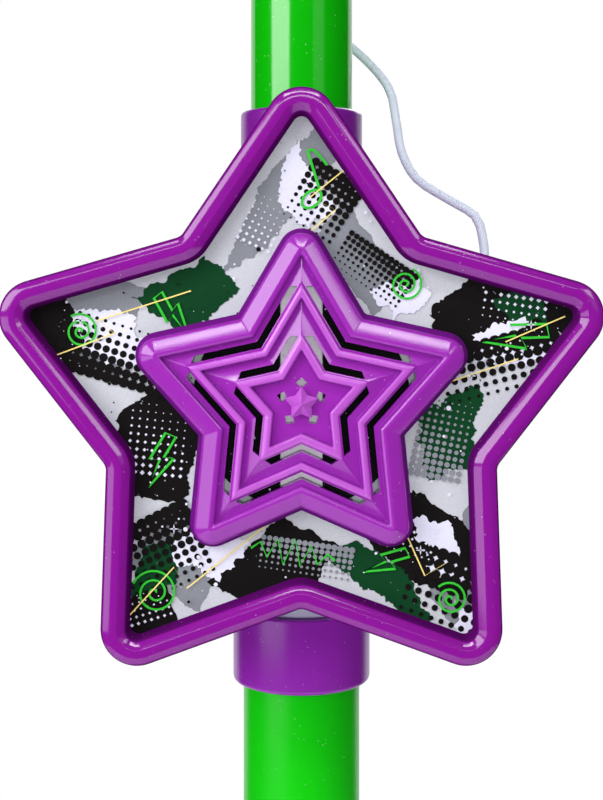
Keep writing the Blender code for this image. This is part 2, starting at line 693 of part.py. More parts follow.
def make_centre_star(bm):
    """Small faceted star on a stem that stands on the grille's centre plate."""
    base = GRILLE_CREVICE + CENTRE_STAR_GAP
    outline = []
    for arm in range(ARMS):
        outline += [on_arm(arm, CENTRE_STAR_TIP), on_arm(arm + 0.5, CENTRE_STAR_VALLEY)]
    stem = [(CENTRE_STEM_RADIUS * math.sin(a), CENTRE_STEM_RADIUS * math.cos(a)) for a in
            [math.pi * step / ARMS for step in range(2 * ARMS)]]
    root = GRILLE_CREVICE - CREST_DROP
    levels = ((stem, root), (stem, base), (outline, base), (outline, base + CREST_DROP))
    loops = [[Vector((x, -STAR_FACE - rise, STAR_Z + z)) for x, z in points] for points, rise in levels]
    loops.append([Vector((0.0, -STAR_FACE - base - CENTRE_STAR_RISE, STAR_Z))])
    loft(bm, loops)


def make_grille(mast):
    """Star grille: nested saw-tooth rings with chevron slots, and pegs that hold it to the shell."""
    front = grille_profile()
    skirt = GRILLE_EDGE - RIM_SKIRT
    loops = [grille_loop(edge, rise) for edge, rise in front]
    loops.append(grille_loop(PLATE_CREST_EDGE - CREST_DROP, GRILLE_BACK))
    loops.append(grille_loop(skirt, GRILLE_BACK))
    loops.append(grille_loop(skirt, CLEARANCE))
    bm = bmesh.new()
    rings = [[bm.verts.new(point) for point in loop] for loop in loops]
    plate = len(front) - 1
    skin(bm, rings[: plate + 1], False)
    skin(bm, rings[plate + 1 :] + rings[:1], False)
    bm.faces.new(rings[plate])
    bm.faces.new(rings[plate + 1])
    grille = piece("grille", bm, gloss("grille", LILAC), mast)

    pegs = bmesh.new()
    for arm in range(ARMS):
        x, z = on_arm(arm, PEG_RING)
        rod(pegs, PEG_RADIUS, -GRILLE_CREVICE, PEG_LENGTH, star_frame(x, z), 12)
    combine(grille, pegs, "UNION")
    cuts = bmesh.new()
    place = star_frame()
    slots = (
        (OUTER_SLOT_EDGE, OUTER_SLOT_WIDTH, OUTER_SLOT_REACH),
        (INNER_SLOT_EDGE, INNER_SLOT_WIDTH, INNER_SLOT_REACH),
    )
    for arm in range(ARMS):
        for edge, width, reach in slots:
            outline = [(x, -z) for x, z in slot_outline(arm, edge, width, reach)]
            prism(cuts, outline, place, -2 * GRILLE_RISE, -CLEARANCE)
        middle = (HOLE_START + HOLE_END) / 2
        corners = [on_arm(arm, HOLE_START), on_arm(arm, middle, HOLE_HALF_WIDTH)]
        corners += [on_arm(arm, HOLE_END), on_arm(arm, middle, -HOLE_HALF_WIDTH)]
        prism(cuts, [(x, -z) for x, z in corners], place, -2 * GRILLE_RISE, -CLEARANCE)
    combine(grille, cuts, "DIFFERENCE")
    boss = bmesh.new()
    make_centre_star(boss)
    combine(grille, boss, "UNION")


def make_rear_shell(mast):
    """Star tray behind the card: lip inside the bezel, posts for the grille, and the pole's saddle."""
    lip = BEZEL_SKIRT_WALL + CLEARANCE
    seam = BEZEL_SKIRT + CLEARANCE
    inner = lip + SHELL_LIP
    section = [
        (SHELL_TAPER, SHELL_DEPTH),
        (0.7 * SHELL_TAPER, SHELL_DEPTH - 0.03 * SHELL_DEPTH),
        (0.43 * SHELL_TAPER, SHELL_DEPTH - 0.11 * SHELL_DEPTH),
        (0.24 * SHELL_TAPER, SHELL_DEPTH - 0.28 * SHELL_DEPTH),
        (0.0, seam),
        (lip, seam),
        (lip, CARD_BACK),
        (inner, CARD_BACK),
        (inner, seam),
        (0.24 * SHELL_TAPER + SHELL_WALL, SHELL_DEPTH - 0.28 * SHELL_DEPTH),
        (0.43 * SHELL_TAPER + SHELL_WALL, SHELL_FLOOR - 0.06 * SHELL_DEPTH),
        (0.7 * SHELL_TAPER + SHELL_WALL, SHELL_FLOOR),
    ]
    bm = bmesh.new()
    loft(bm, [star_loop(inset, depth) for inset, depth in section])
    shell = piece("rear_shell", bm, gloss("rear_shell", PURPLE), mast)

    added = bmesh.new()
    root = SHELL_FLOOR + SHELL_WALL / 2
    for arm in range(ARMS):
        x, z = on_arm(arm, PEG_RING)
        rod(added, PEG_RADIUS + CLEARANCE + POST_WALL, CARD_BACK, root, star_frame(x, z), 14)
    for x, z in speaker_posts():
        rod(added, SPEAKER_POST_RADIUS, FLANGE_BACK + CLEARANCE, root, star_frame(x, z), 10)
    front = root - STAR_FACE
    back = -CLEARANCE / 2
    box(added, (2 * SADDLE_HALF_WIDTH, back - front, SADDLE_TOP - SADDLE_BOTTOM),
        (0.0, (front + back) / 2, STAR_Z + (SADDLE_TOP + SADDLE_BOTTOM) / 2))
    combine(shell, added, "UNION")

    cuts = bmesh.new()
    margin = SHELL_WALL
    rod(cuts, CORE_HOLE, STAR_Z + SADDLE_BOTTOM - margin, STAR_Z + SADDLE_TOP + margin, steps=ROUND_STEPS)
    rod(cuts, JACK_BARREL_RADIUS + CLEARANCE, SHELL_FLOOR - margin, SHELL_DEPTH + margin, star_frame(*JACK))
    for arm in range(ARMS):
        x, z = on_arm(arm, PEG_RING)
        rod(cuts, PEG_RADIUS + CLEARANCE, 0.0, PEG_LENGTH + CLEARANCE, star_frame(x, z), 12)
    combine(shell, cuts, "DIFFERENCE")


def speaker_posts():
    """Places (x, z) of the four posts that carry the loudspeaker's flange."""
    across = SPEAKER_POST_RING * math.sin(SPEAKER_POST_ANGLE)
    up = SPEAKER_POST_RING * math.cos(SPEAKER_POST_ANGLE)
    return [(side * across, level * up) for side in (-1, 1) for level in (-1, 1)]


def make_clamp(mast):
    """Half shell behind the pole, screwed to the saddle by its two ears."""
    outer = CORE_HOLE + CLAMP_WALL
    gap = CLEARANCE / 2
    ear = gap + CLAMP_EAR
    start = math.acos(ear / outer)
    inner_start = math.acos(gap / CORE_HOLE)
    outline = [(SADDLE_HALF_WIDTH, gap), (SADDLE_HALF_WIDTH, ear), *arc(outer, start, -start, 14)]
    outline += [(-SADDLE_HALF_WIDTH, ear), (-SADDLE_HALF_WIDTH, gap)]
    outline += arc(CORE_HOLE, -inner_start, inner_start, 14)
    bm = bmesh.new()
    prism(bm, outline, UPRIGHT, STAR_Z + SADDLE_BOTTOM, STAR_Z + SADDLE_TOP)
    piece("pole_clamp", bm, gloss("pole_clamp", PURPLE), mast)


def make_speaker(mast):
    """Loudspeaker unit behind the card: cloth, basket, cone and magnet."""
    place = star_frame()
    bm = bmesh.new()
    rod(bm, SPEAKER_RADIUS, CARD_BACK, CLOTH_BACK, place, SPEAKER_STEPS)
    piece("speaker_cloth", bm, matt("speaker_cloth", BLACK), mast)

    hub = DUST_CAP_RADIUS - 2 * BASKET_SHEET
    back = BASKET_BACK - BASKET_SHEET
    bm = bmesh.new()
    turn(bm, [
        (SPEAKER_OPENING, FLANGE_FRONT), (SPEAKER_RADIUS, FLANGE_FRONT), (SPEAKER_RADIUS, FLANGE_BACK),
        (SPEAKER_OPENING + BASKET_SHEET, FLANGE_BACK), (BASKET_BACK_RADIUS, back),
        (BASKET_BACK_RADIUS, BASKET_BACK), (hub, BASKET_BACK), (hub, back),
        (BASKET_BACK_RADIUS - BASKET_SHEET, back), (SPEAKER_OPENING, FLANGE_BACK),
    ], place, SPEAKER_STEPS)
    piece("speaker_basket", bm, metal("speaker_basket", STEEL), mast)

    top = BASKET_BACK + CLEARANCE
    bottom = top + MAGNET_THICKNESS
    edge = 0.1 * MAGNET_THICKNESS
    bm = bmesh.new()
    section = [(0, top), (MAGNET_RADIUS - edge, top), (MAGNET_RADIUS, top + edge)]
    section += [(MAGNET_RADIUS, bottom - edge), (MAGNET_RADIUS - edge, bottom), (0, bottom)]
    turn(bm, section, place, SPEAKER_STEPS)
    piece("speaker_magnet", bm, metal("speaker_magnet", IRON), mast)

    rim = SPEAKER_OPENING - 2 * CLEARANCE
    throat = back - 3 * CONE_SHEET
    surround = 0.84 * rim
    bm = bmesh.new()
    front = [(0, throat - 4 * CONE_SHEET), (0.6 * DUST_CAP_RADIUS, throat - 3.2 * CONE_SHEET),
             (DUST_CAP_RADIUS, throat - 1.5 * CONE_SHEET), (surround, FLANGE_BACK),
             ((surround + rim) / 2, FLANGE_FRONT + CLEARANCE), (rim, FLANGE_FRONT + CLEARANCE + CONE_SHEET)]
    rear = [(radius, depth + CONE_SHEET) for radius, depth in reversed(front)]
    turn(bm, front + rear, place, SPEAKER_STEPS)
    piece("speaker_cone", bm, matt("speaker_cone", BLACK), mast)


def make_jack(mast):
    """Jack socket through the shell's back, its terminal board, and the right-angled plug of the lead."""
    place = star_frame(*JACK)
    body_back = SHELL_FLOOR - CLEARANCE
    body_front = body_back - JACK_BODY_LENGTH
    mouth = SHELL_DEPTH + CLEARANCE
    floor = body_front + JACK_FLOOR
    bm = bmesh.new()
    turn(bm, [
        (0, body_front), (JACK_BODY_RADIUS, body_front), (JACK_BODY_RADIUS, body_back),
        (JACK_BARREL_RADIUS, body_back), (JACK_BARREL_RADIUS, mouth), (JACK_BORE_RADIUS, mouth),
        (JACK_BORE_RADIUS, floor), (0, floor),
    ], place, SMALL_STEPS)
    piece("jack_socket", bm, metal("jack_socket", STEEL), mast)

    bm = bmesh.new()
    depth = body_front - CLEARANCE - TERMINAL_BOARD[1] / 2
    box(bm, TERMINAL_BOARD, place @ Vector((0.0, 0.0, depth)))
    piece("terminal_board", bm, matt("terminal_board", BOARD_GREEN), mast)

    height = PLUG_BELOW + PLUG_ABOVE
    bm = bmesh.new()
    box(bm, (PLUG_WIDTH, PLUG_WIDTH, height),
        place @ Vector((0.0, -(PLUG_ABOVE - PLUG_BELOW) / 2, PLUG_CENTRE)), 0.2 * PLUG_WIDTH)
    plug = piece("lead_plug", bm, gloss("lead_plug", WHITE), mast)
    added = bmesh.new()
    pin = JACK_BORE_RADIUS - CLEARANCE
    rod(added, pin, PLUG_FRONT - PLUG_PIN_LENGTH, PLUG_CENTRE, place, 12)
    nose = Matrix.Translation((JACK[0], PLUG_CENTRE - STAR_FACE, STAR_Z + JACK[1]))
    turn(added, [(0, PLUG_ABOVE / 2), (PLUG_NOSE_RADIUS, PLUG_ABOVE / 2), (PLUG_NOSE_RADIUS, PLUG_ABOVE),
                 (1.6 * LEAD_RADIUS, PLUG_ABOVE + PLUG_NOSE), (0, PLUG_ABOVE + PLUG_NOSE)], nose, 12)
    combine(plug, added, "UNION")


def smooth_curve(points, step):
    """Points about one step apart on a Catmull-Rom curve through the given points."""
    made = []
    padded = [2 * points[0] - points[1], *points, 2 * points[-1] - points[-2]]
    for before, start, end, after in zip(padded, padded[1:], padded[2:], padded[3:]):
        count = max(1, round((end - start).length / step))
        for index in range(count):
            t = index / count
            second = 2 * before - 5 * start + 4 * end - after
            third = 3 * start - before - 3 * end + after
            made.append(0.5 * (2 * start + (end - before) * t + second * t**2 + third * t**3))
    return [*made, points[-1]]


def lead_points():
    """Centre line of the lead: plug, free bow, winding on the upper tube, free bow, microphone."""
    star = Vector((0.0, 0.0, STAR_Z))
    radius = UPPER_TUBE_RADIUS + CLEARANCE + LEAD_RADIUS
    plug_end = star + Vector((JACK[0], PLUG_CENTRE - STAR_FACE, PLUG_TOP + CLEARANCE))
    out_of_plug = plug_end + Vector((0.0, 0.0, 2 * LEAD_RADIUS))
    boot_end = MIC_FRAME @ Vector((0.0, 0.0, BOOT_END - CLEARANCE))
    out_of_boot = boot_end - 2 * LEAD_RADIUS * MIC_AXIS
    winding = []
    for point in range(WINDING_TURNS * LOOP_POINTS + 1):
        angle = math.pi / 2 + 2 * math.pi * point / LOOP_POINTS
        rise = WINDING_START + WINDING_PITCH * point / LOOP_POINTS
        winding.append(star + Vector((radius * math.cos(angle), radius * math.sin(angle), rise)))
    first = [plug_end, out_of_plug, *(star + Vector(p) for p in LEAD_FROM_PLUG), winding[0], winding[1]]
    free = [star + Vector(p) for p in LEAD_TO_MICROPHONE]
    last = [winding[-2], winding[-1], *free, out_of_boot, boot_end]
    inward = smooth_curve(first, LEAD_STEP)
    outward = smooth_curve(last, LEAD_STEP)
    return inward[: inward.index(winding[0])] + winding + outward[outward.index(winding[-1]) + 1 :]


def least_self_gap(points):
    """Least gap between stretches of the lead that lie more than half a turn apart along it."""
    apart = LOOP_POINTS // 2
    pairs = ((a, b) for i, a in enumerate(points) for b in points[i + apart :])
    return min((a - b).length for a, b in pairs) - 2 * LEAD_RADIUS


def make_tube(name, points, radius, look, carrier):
    """Unbroken round tube along points, as a bevelled curve with filled caps."""
    data = bpy.data.curves.new(name, "CURVE")
    data.dimensions = "3D"
    data.bevel_depth = radius
    data.bevel_resolution = 1
    data.use_fill_caps = True
    spline = data.splines.new("POLY")
    spline.points.add(len(points) - 1)
    for target, point in zip(spline.points, points):
        target.co = (*(point - carrier.location), 1.0)
    data.materials.append(look)
    return place_object(bpy.data.objects.new(name, data), carrier)


def make_lead(mast):
    """White lead from the loudspeaker's plug to the microphone."""
    points = lead_points()
    length = sum((b - a).length for a, b in zip(points, points[1:]))
    print(f"lead: {length:.4f} m long, least gap to itself {1000 * least_self_gap(points):.2f} mm")
    make_tube("lead", points, LEAD_RADIUS, gloss("lead", WHITE), mast)


def make_bracket(mast, knob):
    """Plug on the upper tube with two ears, the tilt pin through them, and the tilt knob."""
    top = UPPER_TUBE_TOP + CLEARANCE
    cap_top = top + BRACKET_CAP_HEIGHT
    spigot = CORE_HOLE - CLEARANCE
    edge = 0.3 * BRACKET_CAP_HEIGHT
    bm = bmesh.new()
    turn(bm, [
        (0, UPPER_TUBE_TOP - BRACKET_SPIGOT), (spigot, UPPER_TUBE_TOP - BRACKET_SPIGOT), (spigot, top),
        (BRACKET_CAP_RADIUS, top), (BRACKET_CAP_RADIUS, cap_top - edge),
        (BRACKET_CAP_RADIUS - 0.5 * edge, cap_top - 0.3 * edge), (BRACKET_CAP_RADIUS - 1.5 * edge, cap_top),
        (0, cap_top),
    ])
    bracket = piece("top_bracket", bm, gloss("top_bracket", PURPLE), mast)
    ears = bmesh.new()
    pivot_frame = Matrix.Translation(PIVOT) @ Matrix(
        (Vector((0, 1, 0)), Vector((0, 0, 1)), Vector((1, 0, 0)))).transposed().to_4x4()
    foot = -(PIVOT_ABOVE_TUBE - BRACKET_CAP_HEIGHT / 2)
    outline = [*arc(EAR_RADIUS, -math.pi / 2, math.pi / 2, 12), (EAR_RADIUS, foot), (-EAR_RADIUS, foot)]
    for side in (-1, 1):
        near, far = sorted((side * EAR_INNER, side * (EAR_INNER + EAR_THICKNESS)))
        prism(ears, outline, pivot_frame, near, far)
    combine(bracket, ears, "UNION")
    cuts = bmesh.new()
    ear_outer = EAR_INNER + EAR_THICKNESS
    rod(cuts, PIN_RADIUS + CLEARANCE, -2 * ear_outer, 2 * ear_outer, pivot_frame)
    combine(bracket, cuts, "DIFFERENCE")

    head = -ear_outer - CLEARANCE
    knob_start = ear_outer + CLEARANCE
    hole_end = knob_start + KNOB_HOLE_DEPTH
    bm = bmesh.new()
    turn(bm, [
        (0, head - PIN_HEAD_LENGTH), (0.8 * PIN_HEAD_RADIUS, head - PIN_HEAD_LENGTH),
        (PIN_HEAD_RADIUS, head - 0.6 * PIN_HEAD_LENGTH), (PIN_HEAD_RADIUS, head), (PIN_RADIUS, head),
        (PIN_RADIUS, hole_end - CLEARANCE), (0, hole_end - CLEARANCE),
    ], pivot_frame, SMALL_STEPS)
    piece("tilt_pin", bm, metal("tilt_pin", STEEL), mast)

    def lobes(size, along):
        angles = [2 * math.pi * step / (6 * KNOB_LOBES) for step in range(6 * KNOB_LOBES)]
        radii = [size * (KNOB_RADIUS + KNOB_LOBE * math.cos(KNOB_LOBES * a)) for a in angles]
        spots = [(r * math.sin(a), r * math.cos(a), along) for r, a in zip(radii, angles)]
        return [pivot_frame @ Vector(spot) for spot in spots]

    knob_end = knob_start + KNOB_LENGTH
    bm = bmesh.new()
    loft(bm, [lobes(0.82, knob_start), lobes(1.0, knob_start + 0.15 * KNOB_LENGTH),
              lobes(1.0, knob_end - 0.2 * KNOB_LENGTH), lobes(0.8, knob_end)])
    turning = piece("tilt_knob", bm, gloss("tilt_knob", GREEN), knob)
    hole = bmesh.new()
    rod(hole, PIN_RADIUS + CLEARANCE, knob_start - KNOB_HOLE_DEPTH, hole_end, pivot_frame)
    combine(turning, hole, "DIFFERENCE")


def handle_radius(along):
    """Outer radius of the tapered handle."""
    share = (along - HANDLE_TAIL) / (HANDLE_HEAD - HANDLE_TAIL)
    return HANDLE_TAIL_RADIUS + (HANDLE_HEAD_RADIUS - HANDLE_TAIL_RADIUS) * share


def sector(outer, inner, start, end, steps):
    """Outline of a piece of a ring, with angles from the microphone's upper side."""
    return arc(outer, start, end, steps) + arc(inner, end, start, steps)


def sector_loft(bm, section, starts):
    """Solid through the outlines that a section gives at places along the microphone."""
    loft(bm, [[MIC_FRAME @ Vector((x, y, along)) for x, y in section(along)] for along in starts])


def mic_block(bm, half_width, start, end, levels):
    """Block inside the microphone's frame, through rectangles at levels of (height, share of its size)."""
    middle = (start + end) / 2
    half = (end - start) / 2
    corners = [(-half_width, -half), (half_width, -half), (half_width, half), (-half_width, half)]
    loft(bm, [[MIC_FRAME @ Vector((share * x, level, middle + share * y)) for x, y in corners]
              for level, share in levels])


def make_clip(clip):
    """Springy open clip with the lug that turns on the tilt pin."""
    half = CLIP_LENGTH / 2

    def section(along):
        inner = handle_radius(along) + CLEARANCE
        return sector(inner + CLIP_WALL, inner, CLIP_OPENING, 2 * math.pi - CLIP_OPENING, CLIP_STEPS)

    bm = bmesh.new()
    sector_loft(bm, section, (-half, half))
    cradle = piece("mic_clip", bm, gloss("mic_clip", PURPLE), clip)
    lug = bmesh.new()
    side = Matrix((MIC_AXIS, MIC_UP, Vector((-1, 0, 0)))).transposed().to_4x4()
    lug_frame = Matrix.Translation(PIVOT) @ side
    seat = MIC_ABOVE_PIVOT - handle_radius(0) - CLEARANCE - CLIP_WALL / 2
    outline = [*arc(LUG_RADIUS, math.pi / 2, 3 * math.pi / 2, 12), (-LUG_FOOT, seat), (LUG_FOOT, seat)]
    thickness = EAR_INNER - CLEARANCE
    prism(lug, outline, lug_frame, -thickness, thickness)
    combine(cradle, lug, "UNION")
    hole = bmesh.new()
    rod(hole, PIN_RADIUS + CLEARANCE, -2 * thickness, 2 * thickness, lug_frame)
    combine(cradle, hole, "DIFFERENCE")


def make_handle(clip, door, slider):
    """Tapered hollow handle, its lift-off battery door and its on-off slider."""
    head_inner = HANDLE_HEAD_RADIUS - HANDLE_WALL
    floor = HANDLE_TAIL + HANDLE_FLOOR
    bore = BOOT_SPIGOT_RADIUS + CLEARANCE
    end_round = arc(HANDLE_TAIL_ROUND, math.pi, math.pi / 2, 4,
                    (handle_radius(HANDLE_TAIL) - HANDLE_TAIL_ROUND, HANDLE_TAIL + HANDLE_TAIL_ROUND))
    bm = bmesh.new()
    turn(bm, [
        (bore, HANDLE_TAIL), *end_round, (HANDLE_HEAD_RADIUS, HANDLE_HEAD), (head_inner, HANDLE_HEAD),
        (handle_radius(floor) - HANDLE_WALL, floor), (bore, floor),
    ], MIC_FRAME, MIC_STEPS)
    handle = piece("mic_handle", bm, gloss("mic_handle", PURPLE), clip)

    def window(along):
        return sector(2 * HANDLE_HEAD_RADIUS, handle_radius(along) - 2 * HANDLE_WALL,
                      -DOOR_HALF_ANGLE, DOOR_HALF_ANGLE, DOOR_STEPS)

    cuts = bmesh.new()
    sector_loft(cuts, window, (DOOR_START, DOOR_END))
    mic_block(cuts, SWITCH_SLOT_HALF_WIDTH, SWITCH_SLOT_START, SWITCH_SLOT_START + SWITCH_SLOT_LENGTH,
              ((HANDLE_HEAD_RADIUS / 2, 1.0), (2 * HANDLE_HEAD_RADIUS, 1.0)))
    combine(handle, cuts, "DIFFERENCE")

    def panel(along):
        radius = handle_radius(along)
        lean = DOOR_HALF_ANGLE - CLEARANCE / (radius - HANDLE_WALL)
        return sector(radius, radius - HANDLE_WALL, -lean, lean, DOOR_STEPS)

    bm = bmesh.new()
    sector_loft(bm, panel, (DOOR_START + CLEARANCE, DOOR_END - CLEARANCE))
    piece("mic_door", bm, gloss("mic_door", PURPLE), door)

    start = SWITCH_SLOT_START + 2 * CLEARANCE
    middle = start + SWITCH_BUTTON_LENGTH / 2
    surface = handle_radius(middle)
    low = surface - SWITCH_BUTTON_SINK
    high = surface + SWITCH_BUTTON_RISE
    width = SWITCH_SLOT_HALF_WIDTH - CLEARANCE
    foot = BOARD_LEVEL + BOARD_THICKNESS + SWITCH_BODY_HEIGHT + CLEARANCE
    bm = bmesh.new()
    mic_block(bm, width, start, start + SWITCH_BUTTON_LENGTH,
              ((low, 1.0), (high - 0.2 * SWITCH_BUTTON_RISE, 1.0), (high, 0.85)))
    button = piece("mic_switch", bm, gloss("mic_switch", GREEN), slider)
    stem = bmesh.new()
    half = SWITCH_STEM / 2
    mic_block(stem, half, middle - half, middle + half, ((foot, 1.0), (surface, 1.0)))
    combine(button, stem, "UNION")


def make_cells(clip):
    """Power inside the handle: tray, two cells in line, spring and contact, and the circuit board."""
    def trough(along):
        outer = handle_radius(along) - HANDLE_WALL - CLEARANCE
        return sector(outer, CELL_RADIUS + CLEARANCE, math.pi / 2, 3 * math.pi / 2, TRAY_STEPS)

    bm = bmesh.new()
    sector_loft(bm, trough, (TRAY_START, CELLS_END))
    piece("cell_tray", bm, matt("cell_tray", BLACK), clip)

    for cell in range(CELLS):
        start = CELLS_START + cell * (CELL_LENGTH + CLEARANCE)
        end = start + CELL_LENGTH
        bm = bmesh.new()
        section = [(0, start), (CELL_RADIUS, start), (CELL_RADIUS, end - CELL_NUB)]
        section += [(CELL_NUB_RADIUS, end - CELL_NUB), (CELL_NUB_RADIUS, end), (0, end)]
        turn(bm, section, MIC_FRAME, SMALL_STEPS)
        name = f"cell_{cell + 1}"
        piece(name, bm, gloss(name, GREEN), clip)

    bm = bmesh.new()
    rod(bm, CONTACT_RADIUS, CELLS_END, CELLS_END + CONTACT_THICKNESS, MIC_FRAME)
    piece("cell_contact", bm, metal("cell_contact", STEEL), clip)

    spring_start = HANDLE_TAIL + HANDLE_FLOOR + CLEARANCE + SPRING_WIRE
    spring_end = CELLS_START - CLEARANCE - SPRING_WIRE
    count = SPRING_TURNS * SPRING_POINTS
    points = []
    for step in range(count + 1):
        angle = 2 * math.pi * step / SPRING_POINTS
        along = spring_start + (spring_end - spring_start) * step / count
        ring = (SPRING_RADIUS * math.cos(angle), SPRING_RADIUS * math.sin(angle), along)
        points.append(MIC_FRAME @ Vector(ring))
    make_tube("cell_spring", points, SPRING_WIRE, metal("cell_spring", STEEL), clip)

    board_start = CELLS_END + CONTACT_THICKNESS + CLEARANCE
    top = BOARD_LEVEL + BOARD_THICKNESS
    bm = bmesh.new()
    mic_block(bm, BOARD_HALF_WIDTH, board_start, BOARD_END, ((BOARD_LEVEL, 1.0), (top, 1.0)))
    board = piece("mic_board", bm, matt("mic_board", BOARD_GREEN), clip)
    switch = bmesh.new()
    mic_block(switch, 0.3 * BOARD_HALF_WIDTH, SWITCH_SLOT_START, SWITCH_SLOT_START + SWITCH_SLOT_LENGTH,
              ((BOARD_LEVEL + BOARD_THICKNESS / 2, 1.0), (top + SWITCH_BODY_HEIGHT, 1.0)))
    combine(board, switch, "UNION")


def make_boot(clip):
    """Ribbed strain relief where the lead enters the handle's tail."""
    section = [(0, HANDLE_TAIL + BOOT_SPIGOT), (BOOT_SPIGOT_RADIUS, HANDLE_TAIL + BOOT_SPIGOT),
               (BOOT_SPIGOT_RADIUS, BOOT_START)]
    rib = BOOT_LENGTH / BOOT_RIBS
    for index in range(BOOT_RIBS):
        near = BOOT_START - rib * index
        radius = BOOT_RADIUS + (BOOT_END_RADIUS - BOOT_RADIUS) * index / BOOT_RIBS
        groove = 0.85 * radius
        section += [(radius, near), (radius, near - 0.6 * rib)]
        section += [(groove, near - 0.7 * rib), (groove, near - 0.95 * rib)]
    section += [(BOOT_END_RADIUS, BOOT_END), (0, BOOT_END)]
    bm = bmesh.new()
    turn(bm, section, MIC_FRAME, SMALL_STEPS)
    piece("mic_boot", bm, matt("mic_boot", WHITE), clip)


def ball_arc(radius, neck, steps=BALL_STEPS):
    """Section of a ball from its neck to its pole, as (radius, place along the microphone)."""
    return [(x, BALL_CENTRE + y) for x, y in arc(radius, math.pi - math.asin(neck / radius), 0, steps)]


def make_head(clip):
    """Neck ring, ball grille with its band, foam and capsule."""
    spigot = HANDLE_HEAD_RADIUS - HANDLE_WALL - CLEARANCE
    bm = bmesh.new()
    turn(bm, [
        (NECK_BORE, HANDLE_HEAD - NECK_SPIGOT), (spigot, HANDLE_HEAD - NECK_SPIGOT), (spigot, NECK_START),
        (HANDLE_HEAD_RADIUS, NECK_START), (HANDLE_HEAD_RADIUS, NECK_START + 0.15 * NECK_LENGTH),
        (NECK_RADIUS, NECK_START + 0.55 * NECK_LENGTH), (NECK_RADIUS, NECK_END - 0.1 * NECK_LENGTH),
        (NECK_RADIUS - 0.1 * NECK_LENGTH, NECK_END), (NECK_BORE, NECK_END),
    ], MIC_FRAME, MIC_STEPS)
    piece("mic_ring", bm, gloss("mic_ring", GREEN), clip)

    outer = ball_arc(BALL_RADIUS, BALL_NECK)[:-1]
    inner = ball_arc(BALL_RADIUS - BALL_WALL, BALL_NECK - BALL_WALL)[:-1]
    inner[0] = (BALL_NECK - BALL_WALL, BALL_START)
    top = BALL_CENTRE + BALL_RADIUS
    section = [(0, top), *reversed(outer), *inner, (0, top - BALL_WALL)]
    bm = bmesh.new()
    turn(bm, section, MIC_FRAME, MIC_STEPS)
    piece("mic_ball", bm, metal("mic_ball", STEEL), clip)

    band = BALL_RADIUS + CLEARANCE
    bm = bmesh.new()
    turn(bm, ring_section(band, band + BAND_THICKNESS, BALL_CENTRE - BAND_HALF_WIDTH,
                          BALL_CENTRE + BAND_HALF_WIDTH, 0.5 * BAND_THICKNESS), MIC_FRAME, MIC_STEPS)
    piece("mic_band", bm, gloss("mic_band", GREEN), clip)

    flange_end = BALL_START + CAPSULE_FLANGE
    capsule_end = flange_end + CAPSULE_LENGTH
    bm = bmesh.new()
    section = [(0, BALL_START), (CAPSULE_FLANGE_RADIUS, BALL_START), (CAPSULE_FLANGE_RADIUS, flange_end)]
    section += [(CAPSULE_RADIUS, flange_end), (CAPSULE_RADIUS, capsule_end), (0, capsule_end)]
    turn(bm, section, MIC_FRAME, SMALL_STEPS)
    piece("mic_capsule", bm, metal("mic_capsule", STEEL), clip)

    foam = BALL_RADIUS - BALL_WALL - CLEARANCE
    foam_start = flange_end + CLEARANCE
    neck = math.sqrt(foam**2 - (BALL_CENTRE - foam_start) ** 2)
    pocket = CAPSULE_RADIUS + CLEARANCE
    pocket_end = capsule_end + CLEARANCE
    section = [(0, pocket_end), (pocket, pocket_end), (pocket, foam_start), *ball_arc(foam, neck)[:-1],
               (0, BALL_CENTRE + foam)]
    bm = bmesh.new()
    turn(bm, section, MIC_FRAME, MIC_STEPS)
    piece("mic_foam", bm, matt("mic_foam", FOAM_GREY), clip)


def main():
    clear_scene()
    stand = body("stand", (0.0, 0.0, 0.0))
    mast = body("mast", (0.0, 0.0, STAR_Z))
    knob = body("knob", PIVOT)
    clip = body("clip", PIVOT)
    door = body("door", MIC_CENTRE)
    slider = body("slider", MIC_FRAME @ Vector((0.0, HANDLE_HEAD_RADIUS, SWITCH_SLOT_START)))
    make_base(stand)
    make_pole(stand, mast)
    make_bezel(mast)
    make_card(mast)
    make_grille(mast)
    make_rear_shell(mast)
    make_clamp(mast)
    make_speaker(mast)
    make_jack(mast)
    make_lead(mast)
    make_bracket(mast, knob)
    make_clip(clip)
    make_handle(clip, door, slider)
    make_cells(clip)
    make_boot(clip)
    make_head(clip)


main()
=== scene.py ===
"""Looks of a toy microphone on a telescoping stand with a star-shaped loudspeaker.

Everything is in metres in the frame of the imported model: the pole stands on the Z axis, the star faces -Y.
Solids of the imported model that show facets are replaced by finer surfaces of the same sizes.
"""

import json
import logging
import math
from dataclasses import dataclass, field
from enum import Enum
from typing import Sequence

import bmesh
import bpy
import numpy as np
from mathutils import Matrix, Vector
from mathutils.geometry import tessellate_polygon

